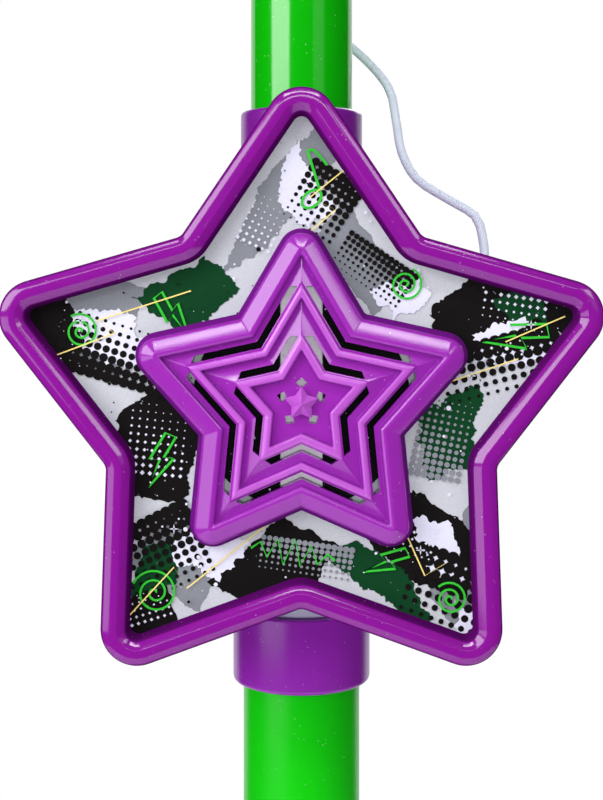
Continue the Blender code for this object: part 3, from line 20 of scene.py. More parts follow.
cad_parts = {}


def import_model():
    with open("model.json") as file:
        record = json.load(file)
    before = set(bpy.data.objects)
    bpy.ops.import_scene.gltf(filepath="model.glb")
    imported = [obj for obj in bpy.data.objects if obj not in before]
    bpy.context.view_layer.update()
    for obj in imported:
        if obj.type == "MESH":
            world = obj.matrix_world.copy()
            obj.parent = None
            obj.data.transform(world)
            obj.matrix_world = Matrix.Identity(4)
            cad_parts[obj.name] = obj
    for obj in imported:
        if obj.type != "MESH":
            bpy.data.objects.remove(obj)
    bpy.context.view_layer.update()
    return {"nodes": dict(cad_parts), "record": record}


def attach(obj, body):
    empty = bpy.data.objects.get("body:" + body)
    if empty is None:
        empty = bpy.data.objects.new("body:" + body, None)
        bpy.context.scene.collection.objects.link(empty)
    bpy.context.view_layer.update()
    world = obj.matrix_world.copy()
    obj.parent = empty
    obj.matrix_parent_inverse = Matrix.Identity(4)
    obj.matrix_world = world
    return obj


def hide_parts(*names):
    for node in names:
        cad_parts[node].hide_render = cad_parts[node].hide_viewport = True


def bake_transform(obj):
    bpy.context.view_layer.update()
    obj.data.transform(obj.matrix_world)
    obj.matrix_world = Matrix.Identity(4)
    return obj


LOG = logging.getLogger("toy_microphone")
Array = np.ndarray
Piece = bpy.types.Object
Socket = bpy.types.NodeSocket
Spot = tuple[float, float]
Triple = tuple[float, float, float]

CLEARANCE = 0.0003
EASE = 0.0003
ARMS = 5
SHARP = 35.0


def srgb(red: float, green: float, blue: float) -> Triple:
    """Linear colour from 8-bit display values, by the usual power of 2.4 with its straight toe.

    Args:
        red: Red, 0 to 255.
        green: Green, 0 to 255.
        blue: Blue, 0 to 255.

    Returns:
        The linear colour.
    """
    share = np.array((red, green, blue)) / 255.0
    linear = np.where(share <= 0.04045, share / 12.92, ((share + 0.055) / 1.055) ** 2.4)
    return tuple(float(value) for value in linear)


class Tone(Enum):
    """Colours of the toy, with darker copies of some that paint shade and a paler copy that paints highlights.
    """

    PURPLE = srgb(128, 19, 139)
    # Darker copy of the purple: painted shade on the bezel's walls.
    PURPLE_WALL_PAINTED_SHADE = srgb(90, 13, 100)
    VIOLET = srgb(140, 30, 168)
    # Darker copy of the violet: painted shade on the upper collar.
    VIOLET_PAINTED_SHADE = srgb(116, 22, 138)
    LILAC = srgb(147, 40, 167)
    # Darker copy of the lilac: painted shade on the grille's outer wall.
    LILAC_WALL = srgb(108, 25, 128)
    # Paler copy of the lilac: painted highlight on the grille's ridge tops and centre star.
    LILAC_PALE = srgb(180, 84, 196)
    GREEN = srgb(7, 189, 3)
    # Darker copy of the green: painted shade on the upper tube.
    GREEN_PAINTED_SHADE = srgb(6, 170, 3)
    WHITE = srgb(210, 218, 232)
    BLACK = srgb(24, 24, 26)
    STEEL = srgb(190, 192, 196)
    IRON = srgb(70, 70, 74)
    BOARD = srgb(30, 100, 60)
    CELL = srgb(150, 156, 165)
    CARD = srgb(190, 192, 200)
    FLOOR = srgb(232, 232, 234)


class Ink(Enum):
    """Inks of the printed card."""

    PALE = srgb(214, 213, 231)
    CLEAR = srgb(250, 243, 255)
    SOOT = srgb(20, 18, 18)
    GREY = srgb(128, 131, 139)
    FOREST = srgb(15, 61, 33)
    LIME = srgb(52, 183, 52)
    GOLD = srgb(235, 212, 128)


class Motif(Enum):
    """Line motifs of the print, with their line widths."""

    BOLT = ("bolt", 0.00062)
    NOTE = ("note", 0.00062)
    CURL = ("curl", 0.0005)
    WAVE = ("wave", 0.0005)

    @property
    def width(self) -> float:
        """Width of its lines."""
        return self.value[1]


@dataclass(frozen=True)
class Place:
    """Frame of a sub-assembly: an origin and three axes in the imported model's frame."""

    origin: Triple
    axes: tuple[Triple, ...] = ((1, 0, 0), (0, 1, 0), (0, 0, 1))

    def at(self, points: Array) -> Array:
        """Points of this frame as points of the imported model: origin plus coordinates times axes."""
        return np.asarray(self.origin) + np.asarray(points, float) @ np.asarray(self.axes, float)

    def moved(self, *spot: float) -> "Place":
        """This frame with its origin at one of its points."""
        return Place(tuple(self.at(spot)), self.axes)

    def swapped(self, *order: int) -> "Place":
        """This frame with its axes in another order."""
        return Place(self.origin, tuple(self.axes[number] for number in order))


STAR_Z = 0.3813
STAR_FACE = 0.042
PIVOT_Z = 0.628
PIN_HOLE = 0.0028
MIC_LIFT = 0.030
MIC_ELEVATION = math.radians(40)
MIC_AXIS = (0.0, -math.cos(MIC_ELEVATION), math.sin(MIC_ELEVATION))
MIC_UP = (0.0, math.sin(MIC_ELEVATION), math.cos(MIC_ELEVATION))
UPRIGHT = Place((0.0, 0.0, 0.0))
STAR = Place((0.0, -STAR_FACE, STAR_Z), ((1, 0, 0), (0, 0, 1), (0, -1, 0)))
PIVOT = Place((0.0, 0.0, PIVOT_Z), ((0, 1, 0), (0, 0, 1), (1, 0, 0)))
MIC = Place((0.0, MIC_LIFT * MIC_UP[1], PIVOT_Z + MIC_LIFT * MIC_UP[2]), ((1, 0, 0), MIC_UP, MIC_AXIS))


class Graph:
    """A node tree with short calls for its nodes and links."""

    def __init__(self, tree: bpy.types.NodeTree) -> None:
        """Keeps the tree."""
        self.tree = tree

    def add(self, kind: str, inputs: dict | None = None, **settings: object) -> bpy.types.Node:
        """Adds a node.

        Args:
            kind: Node type.
            inputs: Values or sockets by input name or number.
            **settings: Properties of the node.

        Returns:
            The node.
        """
        node = self.tree.nodes.new(kind)
        for name, value in settings.items():
            setattr(node, name, value)
        for name, value in (inputs or {}).items():
            if isinstance(value, Socket):
                self.tree.links.new(value, node.inputs[name])
            else:
                node.inputs[name].default_value = value
        return node

    def math(self, operation: str, first: object, second: object = 0.0) -> Socket:
        """Result of a Math node on two values or sockets."""
        return self.add("ShaderNodeMath", {0: first, 1: second}, operation=operation).outputs[0]

    def spread(self, value: object, low: float, high: float, to_low: float, to_high: float) -> Socket:
        """Value mapped from one range to another, clamped."""
        return self.add("ShaderNodeMapRange", {0: value, 1: low, 2: high, 3: to_low, 4: to_high}).outputs[0]

    def noise(self, where: object, scale: float, detail: float = 2.0) -> Socket:
        """Noise value at a point."""
        return self.add("ShaderNodeTexNoise", {"Vector": where, "Scale": scale, "Detail": detail}).outputs[0]

    def swing(self, where: object, scale: float, detail: float) -> Socket:
        """Noise at a point, spread from its middle range to -1 to 1."""
        return self.spread(self.noise(where, scale, detail), 0.3, 0.7, -1.0, 1.0)

    def plus(self, base: object, swing: object, amount: object) -> Socket:
        """A base value plus an amount of a swing."""
        return self.math("ADD", self.math("MULTIPLY", swing, amount), base)

    def shaded(self, colour: Socket, value: object) -> Socket:
        """A colour with its brightness multiplied by a value."""
        return self.add("ShaderNodeHueSaturation", {"Value": value, "Color": colour}).outputs[0]

    def bump(self, strength: float, distance: float, height: object) -> Socket:
        """Normal of a height field."""
        inputs = {"Strength": strength, "Distance": distance, "Height": height}
        return self.add("ShaderNodeBump", inputs).outputs[0]


class Effects:
    """Shader node groups that the finishes share, each built once.

    Each effect takes its graph, its input sockets and the point, and returns its output sockets by name.
    """

    numbers = {"moulding": ("Roughness", "Clouds", "Peel", "Dust"), "fibre": ("Roughness", "Mottle"),
               "weave": ("Pitch",), "brushing": ("Roughness",)}
    dust = (0.75, 0.68, 0.78, 1.0)

    @classmethod
    def group(cls, name: str) -> bpy.types.NodeTree:
        """The node group of an effect, made on first use.

        Args:
            name: Name of the effect.

        Returns:
            The node group.
        """
        if name in bpy.data.node_groups:
            return bpy.data.node_groups[name]
        tree = bpy.data.node_groups.new(name, "ShaderNodeTree")
        gloss = {"Roughness": "Float"} if "Roughness" in cls.numbers[name] else {}
        for way, sockets in (("INPUT", {"Colour": "Color", **dict.fromkeys(cls.numbers[name], "Float")}),
                             ("OUTPUT", {"Colour": "Color", **gloss, "Normal": "Vector"})):
            for socket, kind in sockets.items():
                tree.interface.new_socket(socket, in_out=way, socket_type=f"NodeSocket{kind}")
        graph = Graph(tree)
        feed = graph.add("NodeGroupInput").outputs
        where = graph.add("ShaderNodeTexCoord").outputs["Object"]
        graph.add("NodeGroupOutput", getattr(cls, name)(graph, feed, where))
        return tree

    @classmethod
    def moulding(cls, graph: Graph, feed: dict, where: Socket) -> dict[str, Socket]:
        """Moulded surface: soft colour clouds, dust specks, uneven gloss, and a faint orange peel.

        Args:
            graph: Graph of the group.
            feed: Input sockets by name.
            where: The point, as a socket.

        Returns:
            Output sockets by name.
        """
        shade = graph.plus(1.0, graph.swing(where, 45.0, 3.0), feed["Clouds"])
        specks = graph.add("ShaderNodeTexVoronoi", {"Vector": where, "Scale": 560.0}).outputs["Distance"]
        chance = graph.spread(graph.noise(where, 120.0, 1.0), 0.42, 0.56, 0.0, 1.0)
        mask = graph.math("MULTIPLY", graph.spread(specks, 0.06, 0.10, 1.0, 0.0), chance)
        mask = graph.math("MULTIPLY", mask, feed["Dust"])
        dusty = graph.add("ShaderNodeMix", {0: mask, 6: graph.shaded(feed["Colour"], shade), 7: cls.dust},
                          data_type="RGBA").outputs[2]
        smear = graph.spread(graph.noise(where, 160.0), 0.3, 0.7, -0.01, 0.015)
        peel = graph.math("MULTIPLY", graph.noise(where, 700.0), feed["Peel"])
        return {"Colour": dusty, "Roughness": graph.math("ADD", feed["Roughness"], smear),
                "Normal": graph.bump(0.6, 0.0001, peel)}

    @staticmethod
    def fibre(graph: Graph, feed: dict, where: Socket) -> dict[str, Socket]:
        """Paper and print: fine fibre mottling of the colour, uneven gloss and a low tooth.

        Args:
            graph: Graph of the group.
            feed: Input sockets by name.
            where: The point, as a socket.

        Returns:
            Output sockets by name.
        """
        grain = graph.swing(where, 2600.0, 2.0)
        cloud = graph.swing(where, 110.0, 3.0)
        both = graph.plus(graph.math("MULTIPLY", cloud, 0.4), grain, 0.6)
        return {"Colour": graph.shaded(feed["Colour"], graph.plus(1.0, both, feed["Mottle"])),
                "Roughness": graph.plus(feed["Roughness"], cloud, 0.06),
                "Normal": graph.bump(0.3, 0.00005, grain)}

    @staticmethod
    def weave(graph: Graph, feed: dict, where: Socket) -> dict[str, Socket]:
        """Open cloth: two crossed sine waves for the threads' height, and painted shade on their colour where
        they lie low.

        Args:
            graph: Graph of the group.
            feed: Input sockets by name.
            where: The point, as a socket.

        Returns:
            Output sockets by name.
        """
        parts = graph.add("ShaderNodeSeparateXYZ", {0: where}).outputs
        turn = graph.math("DIVIDE", 2 * math.pi, feed["Pitch"])
        waves = [graph.math("SINE", graph.math("MULTIPLY", parts[axis], turn)) for axis in (0, 2)]
        height = graph.math("MULTIPLY", waves[0], waves[1])
        # Colour follows the height: painted shade on the low parts of the weave, painted light on the raised
        # threads.
        return {"Colour": graph.shaded(feed["Colour"], graph.spread(height, -1.0, 1.0, 0.5, 1.4)),
                "Normal": graph.bump(0.8, 0.0002, height)}

    @staticmethod
    def brushing(graph: Graph, feed: dict, where: Socket) -> dict[str, Socket]:
        """Metal: fine drawn lines in the gloss and small stains in the colour.

        Args:
            graph: Graph of the group.
            feed: Input sockets by name.
            where: The point, as a socket.

        Returns:
            Output sockets by name.
        """
        drawn = graph.add("ShaderNodeMapping", {"Vector": where, "Scale": (1.0, 1.0, 14.0)}).outputs[0]
        lines = graph.swing(drawn, 420.0, 3.0)
        stains = graph.spread(graph.noise(where, 130.0, 3.0), 0.35, 0.75, 1.05, 0.82)
        return {"Colour": graph.shaded(feed["Colour"], stains),
                "Roughness": graph.plus(feed["Roughness"], lines, 0.08),
                "Normal": graph.bump(0.25, 0.00005, lines)}


@dataclass(frozen=True)
class Finish:
    """A finish with one Principled shader whose colour, gloss and normal come from a shared effect."""

    name: str
    colour: Triple
    roughness: float
    effect: str = "moulding"
    values: tuple[tuple[str, float], ...] = ()
    metallic: float = 0.0
    specular: float = 0.5

    def material(self) -> bpy.types.Material:
        """The finish as a material, made on first use.

        Returns:
            The material.
        """
        label = f"{self.name}_finish"
        if label in bpy.data.materials:
            return bpy.data.materials[label]
        made = bpy.data.materials.new(label)
        made.use_nodes = True
        made.diffuse_color = (*self.colour, 1.0)
        shader = made.node_tree.nodes["Principled BSDF"]
        for socket, value in (("Metallic", self.metallic), ("Roughness", self.roughness),
                              ("Specular IOR Level", self.specular)):
            shader.inputs[socket].default_value = value
        group = Graph(made.node_tree).add("ShaderNodeGroup", node_tree=Effects.group(self.effect))
        for socket, value in (("Colour", made.diffuse_color), ("Roughness", self.roughness), *self.values):
            if socket in group.inputs:
                group.inputs[socket].default_value = value
        for output, target in (("Colour", "Base Color"), ("Roughness", "Roughness"), ("Normal", "Normal")):
            if output in group.outputs:
                made.node_tree.links.new(group.outputs[output], shader.inputs[target])
        return made


def plastic(name: str, tone: Tone, roughness: float, specular: float = 0.5, dust: float = 0.3,
            peel: float = 0.05) -> Finish:
    """Glossy moulded plastic of one colour."""
    values = (("Clouds", 0.02), ("Peel", peel), ("Dust", dust))
    return Finish(name, tone.value, roughness, values=values, specular=specular)


def dull(name: str, tone: Tone, roughness: float) -> Finish:
    """Matt plastic or rubber of one colour."""
    values = (("Clouds", 0.15), ("Peel", 1.5), ("Dust", 0.3))
    return Finish(name, tone.value, roughness, values=values, specular=0.35)


def metal(name: str, tone: Tone, roughness: float) -> Finish:
    """Bare metal with drawn lines."""
    return Finish(name, tone.value, roughness, "brushing", metallic=1.0)


def paper(name: str, colour: Triple, roughness: float, mottle: float, specular: float = 0.5) -> Finish:
    """Paper, card or print."""
    return Finish(name, colour, roughness, "fibre", (("Mottle", mottle),), specular=specular)


FINISHES: dict[str, Finish] = {finish.name: finish for finish in (
    plastic("purple_plastic", Tone.PURPLE, 0.1, 0.65),
    plastic("purple_wall_painted_shade", Tone.PURPLE_WALL_PAINTED_SHADE, 0.5, 0.0),
    plastic("violet_plastic", Tone.VIOLET, 0.26, 0.65),
    plastic("violet_painted_shade", Tone.VIOLET_PAINTED_SHADE, 0.26, 0.65),
    plastic("lilac_plastic", Tone.LILAC, 0.14, 0.65),
    # lilac_wall paints shade: the lilac darker on the grille's outer wall.
    plastic("lilac_wall", Tone.LILAC_WALL, 0.5, 0.0),
    # lilac_pale paints highlight: the lilac paler on the ridge tops and the centre star.
    plastic("lilac_pale", Tone.LILAC_PALE, 0.14, 0.65),
    plastic("green_plastic", Tone.GREEN, 0.13, 0.8),
    plastic("green_painted_shade", Tone.GREEN_PAINTED_SHADE, 0.13, 0.8, dust=0.5),
    plastic("green_satin", Tone.GREEN, 0.30, 0.4),
    plastic("white_cable", Tone.WHITE, 0.55, 0.1, 0.0, 0.0),
    plastic("white_plastic", Tone.WHITE, 0.3, 0.5, 0.0, 0.0),
    plastic("cell_wrap", Tone.CELL, 0.3, dust=0.2),
    dull("black_plastic", Tone.BLACK, 0.5),
    dull("black_rubber", Tone.BLACK, 0.75),
    dull("circuit_board", Tone.BOARD, 0.4),
    dull("foam", Tone.BLACK, 0.9),
    metal("steel", Tone.STEEL, 0.28),
    metal("iron", Tone.IRON, 0.5),
    metal("ball_mesh", Tone.STEEL, 0.22),
    paper("printed_card", Tone.CARD.value, 0.5, 0.1, 0.05),
    paper("cone_paper", Tone.BLACK.value, 0.7, 0.2),
    paper("floor_pale", Tone.FLOOR.value, 0.6, 0.02),
    Finish("black_cloth", Tone.BLACK.value, 0.8, "weave", (("Pitch", 0.0009),), specular=0.2),
)}
PRINT = tuple(paper(f"ink_{ink.name.lower()}", ink.value, 0.5, 0.07, 0.05) for ink in Ink)


@dataclass
class Surface:
    """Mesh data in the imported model's frame, grown from grids and loops of points."""

    points: list[Array] = field(default_factory=list)
    faces: list[tuple[int, ...]] = field(default_factory=list)
    slots: list[int] = field(default_factory=list)
    count: int = 0

    def _keep(self, points: Array, faces: list, slot: int) -> "Surface":
        """Adds points and the faces that count from the first of them.

        Args:
            points: The points.
            faces: Corner numbers of each face.
            slot: Number of the finish.

        Returns:
            This surface.
        """
        self.points.append(points.reshape(-1, 3))
        self.faces += [tuple(face) for face in (np.asarray(faces) + self.count).tolist()]
        self.slots += [slot] * len(faces)
        self.count += points.size // 3
        return self

    def grid(self, points: Array, closed: bool = False, slot: int = 0) -> "Surface":
        """Adds quads over a grid of points: index (i, j) joins (i+1, j), (i+1, j+1) and (i, j+1).

        Args:
            points: Array of rows, columns and coordinates; the last column joins the first.
            closed: Whether the last row joins the first.
            slot: Number of the finish.

        Returns:
            This surface.
        """
        rows, columns = points.shape[:2]
        number = np.arange(rows * columns).reshape(rows, columns)
        number = np.concatenate([number, number[:, :1]], axis=1)
        if closed:
            number = np.concatenate([number, number[:1]], axis=0)
        quads = np.stack([number[:-1, :-1], number[:-1, 1:], number[1:, 1:], number[1:, :-1]], axis=-1)
        return self._keep(points, quads.reshape(-1, 4).tolist(), slot)

    def polygons(self, loops: Array, slot: int = 0) -> "Surface":
        """Adds one face for each loop of an array of loops, corners and coordinates."""
        number = np.arange(loops.shape[0] * loops.shape[1]).reshape(loops.shape[:2])
        return self._keep(loops, number.tolist(), slot)

    def stack(self, loops: Array) -> "Surface":
        """Adds a solid through loops of points, with a face over each end."""
        return self.grid(loops).polygons(loops[[0, -1]])

    def prism(self, flat: Array, levels: Sequence[float], place: Place) -> "Surface":
        """Adds a solid of one flat outline between two levels of a frame."""
        return self.stack(place.at(lifted(flat, levels)))

    def rod(self, radius: float, low: float, high: float, place: Place = UPRIGHT,
            steps: int = 96) -> "Surface":
        """Adds a round solid between two levels on a frame's third axis."""
        return self.stack(spun(np.array([(radius, low), (radius, high)]), place, steps))

    def made(self, name: str, *finishes: Finish, sharp: float = SHARP, solid: bool = True) -> Piece:
        """Turns the data into a smooth-shaded object at the origin.

        Args:
            name: Object name.
            *finishes: Finishes by slot number.
            sharp: Angle in degrees above which an edge stays sharp.
            solid: Whether the surface encloses a volume, so that its normals are turned outwards.

        Returns:
            The object.
        """
        mesh = bpy.data.meshes.new(name)
        mesh.from_pydata(np.concatenate(self.points), [], self.faces)
        mesh.polygons.foreach_set("material_index", self.slots)
        if solid:
            shape = bmesh.new()
            shape.from_mesh(mesh)
            bmesh.ops.remove_doubles(shape, verts=shape.verts, dist=1e-6)
            bmesh.ops.dissolve_degenerate(shape, edges=shape.edges, dist=1e-7)
            bmesh.ops.recalc_face_normals(shape, faces=shape.faces)
            shape.to_mesh(mesh)
            shape.free()
        for finish in finishes:
            mesh.materials.append(finish.material())
        mesh.shade_smooth()
        mesh.set_sharp_from_angle(angle=math.radians(sharp))
        made = bpy.data.objects.new(name, mesh)
        bpy.context.scene.collection.objects.link(made)
        return made


def carve(target: Piece, shape: Surface, operation: str = "DIFFERENCE", sharp: float = SHARP) -> None:
    """Cuts a shape out of a piece, or joins it on, and keeps the result as the piece's mesh.

    Args:
        target: The piece.
        shape: The shape, which is removed afterwards.
        operation: Boolean operation.
        sharp: Angle in degrees above which an edge stays sharp.
    """
    helper = shape.made("helper")
    modifier = target.modifiers.new("carve", "BOOLEAN")
    modifier.operation = operation
    modifier.solver = "EXACT"
    modifier.object = helper
    bpy.context.view_layer.update()
    result = bpy.data.meshes.new_from_object(target.evaluated_get(bpy.context.evaluated_depsgraph_get()))
    target.modifiers.clear()
    target.data = result
    result.shade_smooth()
    result.set_sharp_from_angle(angle=math.radians(sharp))
    bpy.data.objects.remove(helper, do_unlink=True)


def put(piece: Piece, body: str, node: str = "") -> Piece:
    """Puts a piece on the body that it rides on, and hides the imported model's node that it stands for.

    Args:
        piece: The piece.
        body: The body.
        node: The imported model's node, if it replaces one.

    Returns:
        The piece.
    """
    if node:
        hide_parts(node)
    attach(piece, body)
    return piece


def lifted(flat: Array, levels: Sequence[float]) -> Array:
    """Loops of a flat outline (x, y), one at each level of the third axis."""
    return np.array([np.concatenate([flat, np.full((len(flat), 1), level)], axis=1) for level in levels])


def rounded(corners: Sequence[Triple], closed: bool = False, steps: int = 5) -> Array:
    """Polyline whose corners are eased: a quadratic curve from r before the corner to r after it.

    Args:
        corners: Points (x, y, r).
        closed: Whether the last point joins the first, so that these are eased too.
        steps: Steps of each curve.

    Returns:
        Array of points (x, y).
    """
    spots = np.array([corner[:2] for corner in corners], float)
    share = np.linspace(0.0, 1.0, steps + 1)[:, None]
    made = []
    for index, (spot, (_, _, size)) in enumerate(zip(spots, corners)):
        if size == 0.0 or (not closed and index in (0, len(spots) - 1)):
            made.append(spot[None])
            continue
        ends = []
        for other in (spots[index - 1], spots[(index + 1) % len(spots)]):
            way = other - spot
            ends.append(spot + way * min(size / np.linalg.norm(way), 0.49))
        made.append((1 - share) ** 2 * ends[0] + 2 * share * (1 - share) * spot + share**2 * ends[1])
    return np.concatenate(made)


def slab(half: float, low: float, high: float, ease: float) -> Array:
    """Outline of a rectangle with eased corners, half its width to each side of the second axis."""
    return rounded([(half, low, ease), (half, high, ease), (-half, high, ease), (-half, low, ease)], True)


def circle(steps: int) -> Array:
    """Angles of equal steps round a circle."""
    return 2 * np.pi * np.arange(steps) / steps


def polar(radius: Array | float, angle: Array) -> Array:
    """Points (x, y) at a radius and at angles from the first axis towards the second."""
    return np.stack([radius * np.cos(angle), radius * np.sin(angle)], axis=-1)


def spun(profile: Array, place: Place = UPRIGHT, steps: int = 96) -> Array:
    """Grid of a half-section (radius, height) turned about a frame's third axis.

    Args:
        profile: Array of points (radius, height).
        place: The frame.
        steps: Steps round the axis.

    Returns:
        Grid of points.
    """
    angle = circle(steps)
    radius, height = profile[:, :1], profile[:, 1:]
    return place.at(np.stack([radius * np.cos(angle), radius * np.sin(angle), height + 0 * angle], axis=-1))


def turned(name: str, corners: Sequence[Triple], finish: str, place: Place = UPRIGHT,
           steps: int = 96) -> Piece:
    """Turned piece from the corners of its half-section; a section that starts and ends on the axis is solid.

    Args:
        name: Object name.
        corners: Points (radius, height, easing).
        finish: Name of the finish.
        place: The frame whose third axis it turns about.
        steps: Steps round the axis.

    Returns:
        The object.
    """
    hollow = corners[0][0] != 0.0 or corners[-1][0] != 0.0
    grid = spun(rounded(corners, hollow), place, steps)
    return Surface().grid(grid, hollow).made(name, FINISHES[finish])


def pipe(name: str, radii: Spot, ends: Spot, finish: str, place: Place = UPRIGHT,
         ease: float = EASE) -> Piece:
    """Turned straight pipe.

    Args:
        name: Object name.
        radii: Inner and outer radius.
        ends: Its two ends on the axis.
        finish: Name of the finish.
        place: The frame whose third axis it lies on.
        ease: Easing of the outer edges.

    Returns:
        The object.
    """
    (inner, outer), (low, high) = radii, ends
    corners = [(inner, low, EASE), (outer, low, ease), (outer, high, ease), (inner, high, EASE)]
    return turned(name, corners, finish, place)


def arc(radius: Array | float, start: float, end: float, steps: int) -> Array:
    """Points (x, y) on an arc, with angles from the second axis towards the first."""
    return polar(radius, np.linspace(start, end, steps + 1))[:, ::-1]


def rotated(points: Array, angle: float) -> Array:
    """Points (x, y) turned clockwise by an angle."""
    turn = np.array([[math.cos(angle), -math.sin(angle)], [math.sin(angle), math.cos(angle)]])
    return points @ turn


def along_arm(arm: float, points: Array) -> Array:
    """Points given as (across, along) an arm's axis, as points (x, z) of the star's plane."""
    return rotated(np.asarray(points, float), 2 * math.pi * arm / ARMS)


def tube(points: Array, radius: float, sides: int) -> Array:
    """Grid of a round tube along a path, from two directions across it that are carried along without twist.

    Args:
        points: Points of the path.
        radius: Radius of the tube.
        sides: Steps round it.

    Returns:
        Grid of points: centre plus radius times cosine and sine of the two directions.
    """
    way = np.gradient(points, axis=0)
    way /= np.linalg.norm(way, axis=1, keepdims=True)
    side = np.cross(way[0], (0.0, 0.0, 1.0) if abs(way[0][2]) < 0.9 else (1.0, 0.0, 0.0))
    sides_on = [side / np.linalg.norm(side)]
    for ahead in way[1:]:
        flat = sides_on[-1] - ahead * np.dot(sides_on[-1], ahead)
        sides_on.append(flat / np.linalg.norm(flat))
    first = np.array(sides_on)
    second = np.cross(way, first)
    angle = circle(sides)[:, None]
    return points[:, None] + radius * (first[:, None] * np.cos(angle) + second[:, None] * np.sin(angle))


def through(points: Array, step: float) -> Array:
    """Points about one step apart on a Catmull-Rom curve through the given points.

    Args:
        points: Points to pass through.
        step: Distance between the points made.

    Returns:
        Points of the curve.
    """
    padded = np.concatenate([[2 * points[0] - points[1]], points, [2 * points[-1] - points[-2]]])
    made = []
    for before, start, end, after in zip(padded, padded[1:], padded[2:], padded[3:]):
        count = max(1, round(float(np.linalg.norm(end - start)) / step))
        t = (np.arange(count) / count)[:, None]
        made.append(0.5 * (2 * start + (end - before) * t + (2 * before - 5 * start + 4 * end - after) * t**2
                           + (3 * start - before - 3 * end + after) * t**3))
    return np.concatenate([*made, points[-1:]])


@dataclass(frozen=True)
class StarShape:
    """Star of straight edges at one distance from its centre, with rounded tips and valleys."""

    edge: float
    half_angle: float
    tip: float
    valley: float
    tip_steps: int = 20
    valley_steps: int = 10
    sharpest: float = 0.0002
    valley_grows: bool = True

    @property
    def lean(self) -> float:
        """Angle of an edge's normal from the axis of the valley beside it."""
        return math.pi / 2 - self.half_angle - math.pi / ARMS

    def outline(self, inset: float = 0.0) -> Array:
        """Outline inset from the star's edge: for each arm an arc round its tip and one round its valley.

        Args:
            inset: Distance inside the edge.

        Returns:
            Points (x, z) from the top, clockwise.
        """
        edge = self.edge - inset
        tip = max(self.tip - inset, self.sharpest)
        valley = self.valley + (inset if self.valley_grows else 0.0)
        normal = math.pi / 2 - self.half_angle
        tip_arc = arc(tip, -normal, normal, self.tip_steps) + (0.0, (edge - tip) / math.sin(self.half_angle))
        valley_arc = arc(valley, math.pi + self.lean, math.pi - self.lean, self.valley_steps)
        valley_arc = valley_arc + (0.0, (edge + valley) / math.cos(self.lean))
        parts = [along_arm(arm + half, part) for arm in range(ARMS)
                 for half, part in ((0.0, tip_arc), (0.5, valley_arc))]
        return np.concatenate(parts)

    def loops(self, section: Array) -> Array:
        """Loops of the star at a section's (inset, rise) points; positive rise is in front of the card."""
        return STAR.at(np.concatenate([lifted(self.outline(inset), [rise]) for inset, rise in section]))

    def holds(self, points: Array, inset: float = 0.0) -> Array:
        """Which points (x, z) are inside: in some arm along·sin(h) + |across|·cos(h) is within the edge.

        Args:
            points: Points (x, z).
            inset: Distance inside the edge.

        Returns:
            Whether each point is inside.
        """
        inside = np.zeros(points.shape[:-1], bool)
        for arm in range(ARMS):
            local = along_arm(-arm, points)
            across, along = np.abs(local[..., 0]), local[..., 1]
            reach = along * math.sin(self.half_angle) + across * math.cos(self.half_angle)
            inside |= (along > 0) & (reach <= self.edge - inset)
        return inside


FRAME_STAR = StarShape(0.0449, math.radians(34.05), 0.0085, 0.003)
GRILLE_STAR = StarShape(0.0233, math.radians(30.4), 0.0055, 0.0008, 16, 4, valley_grows=False)


@dataclass(frozen=True)
class Pegs:
    """Pegs of the grille, which stand in posts of the star's shell."""

    ring: float = 0.033
    radius: float = 0.0017
    length: float = 0.0080
    post_wall: float = 0.0015

    def places(self) -> list[Place]:
        """Frame of each peg in the card's plane."""
        return [STAR.moved(*along_arm(arm, [(0.0, self.ring)])[0], 0.0) for arm in range(ARMS)]


PEGS = Pegs()


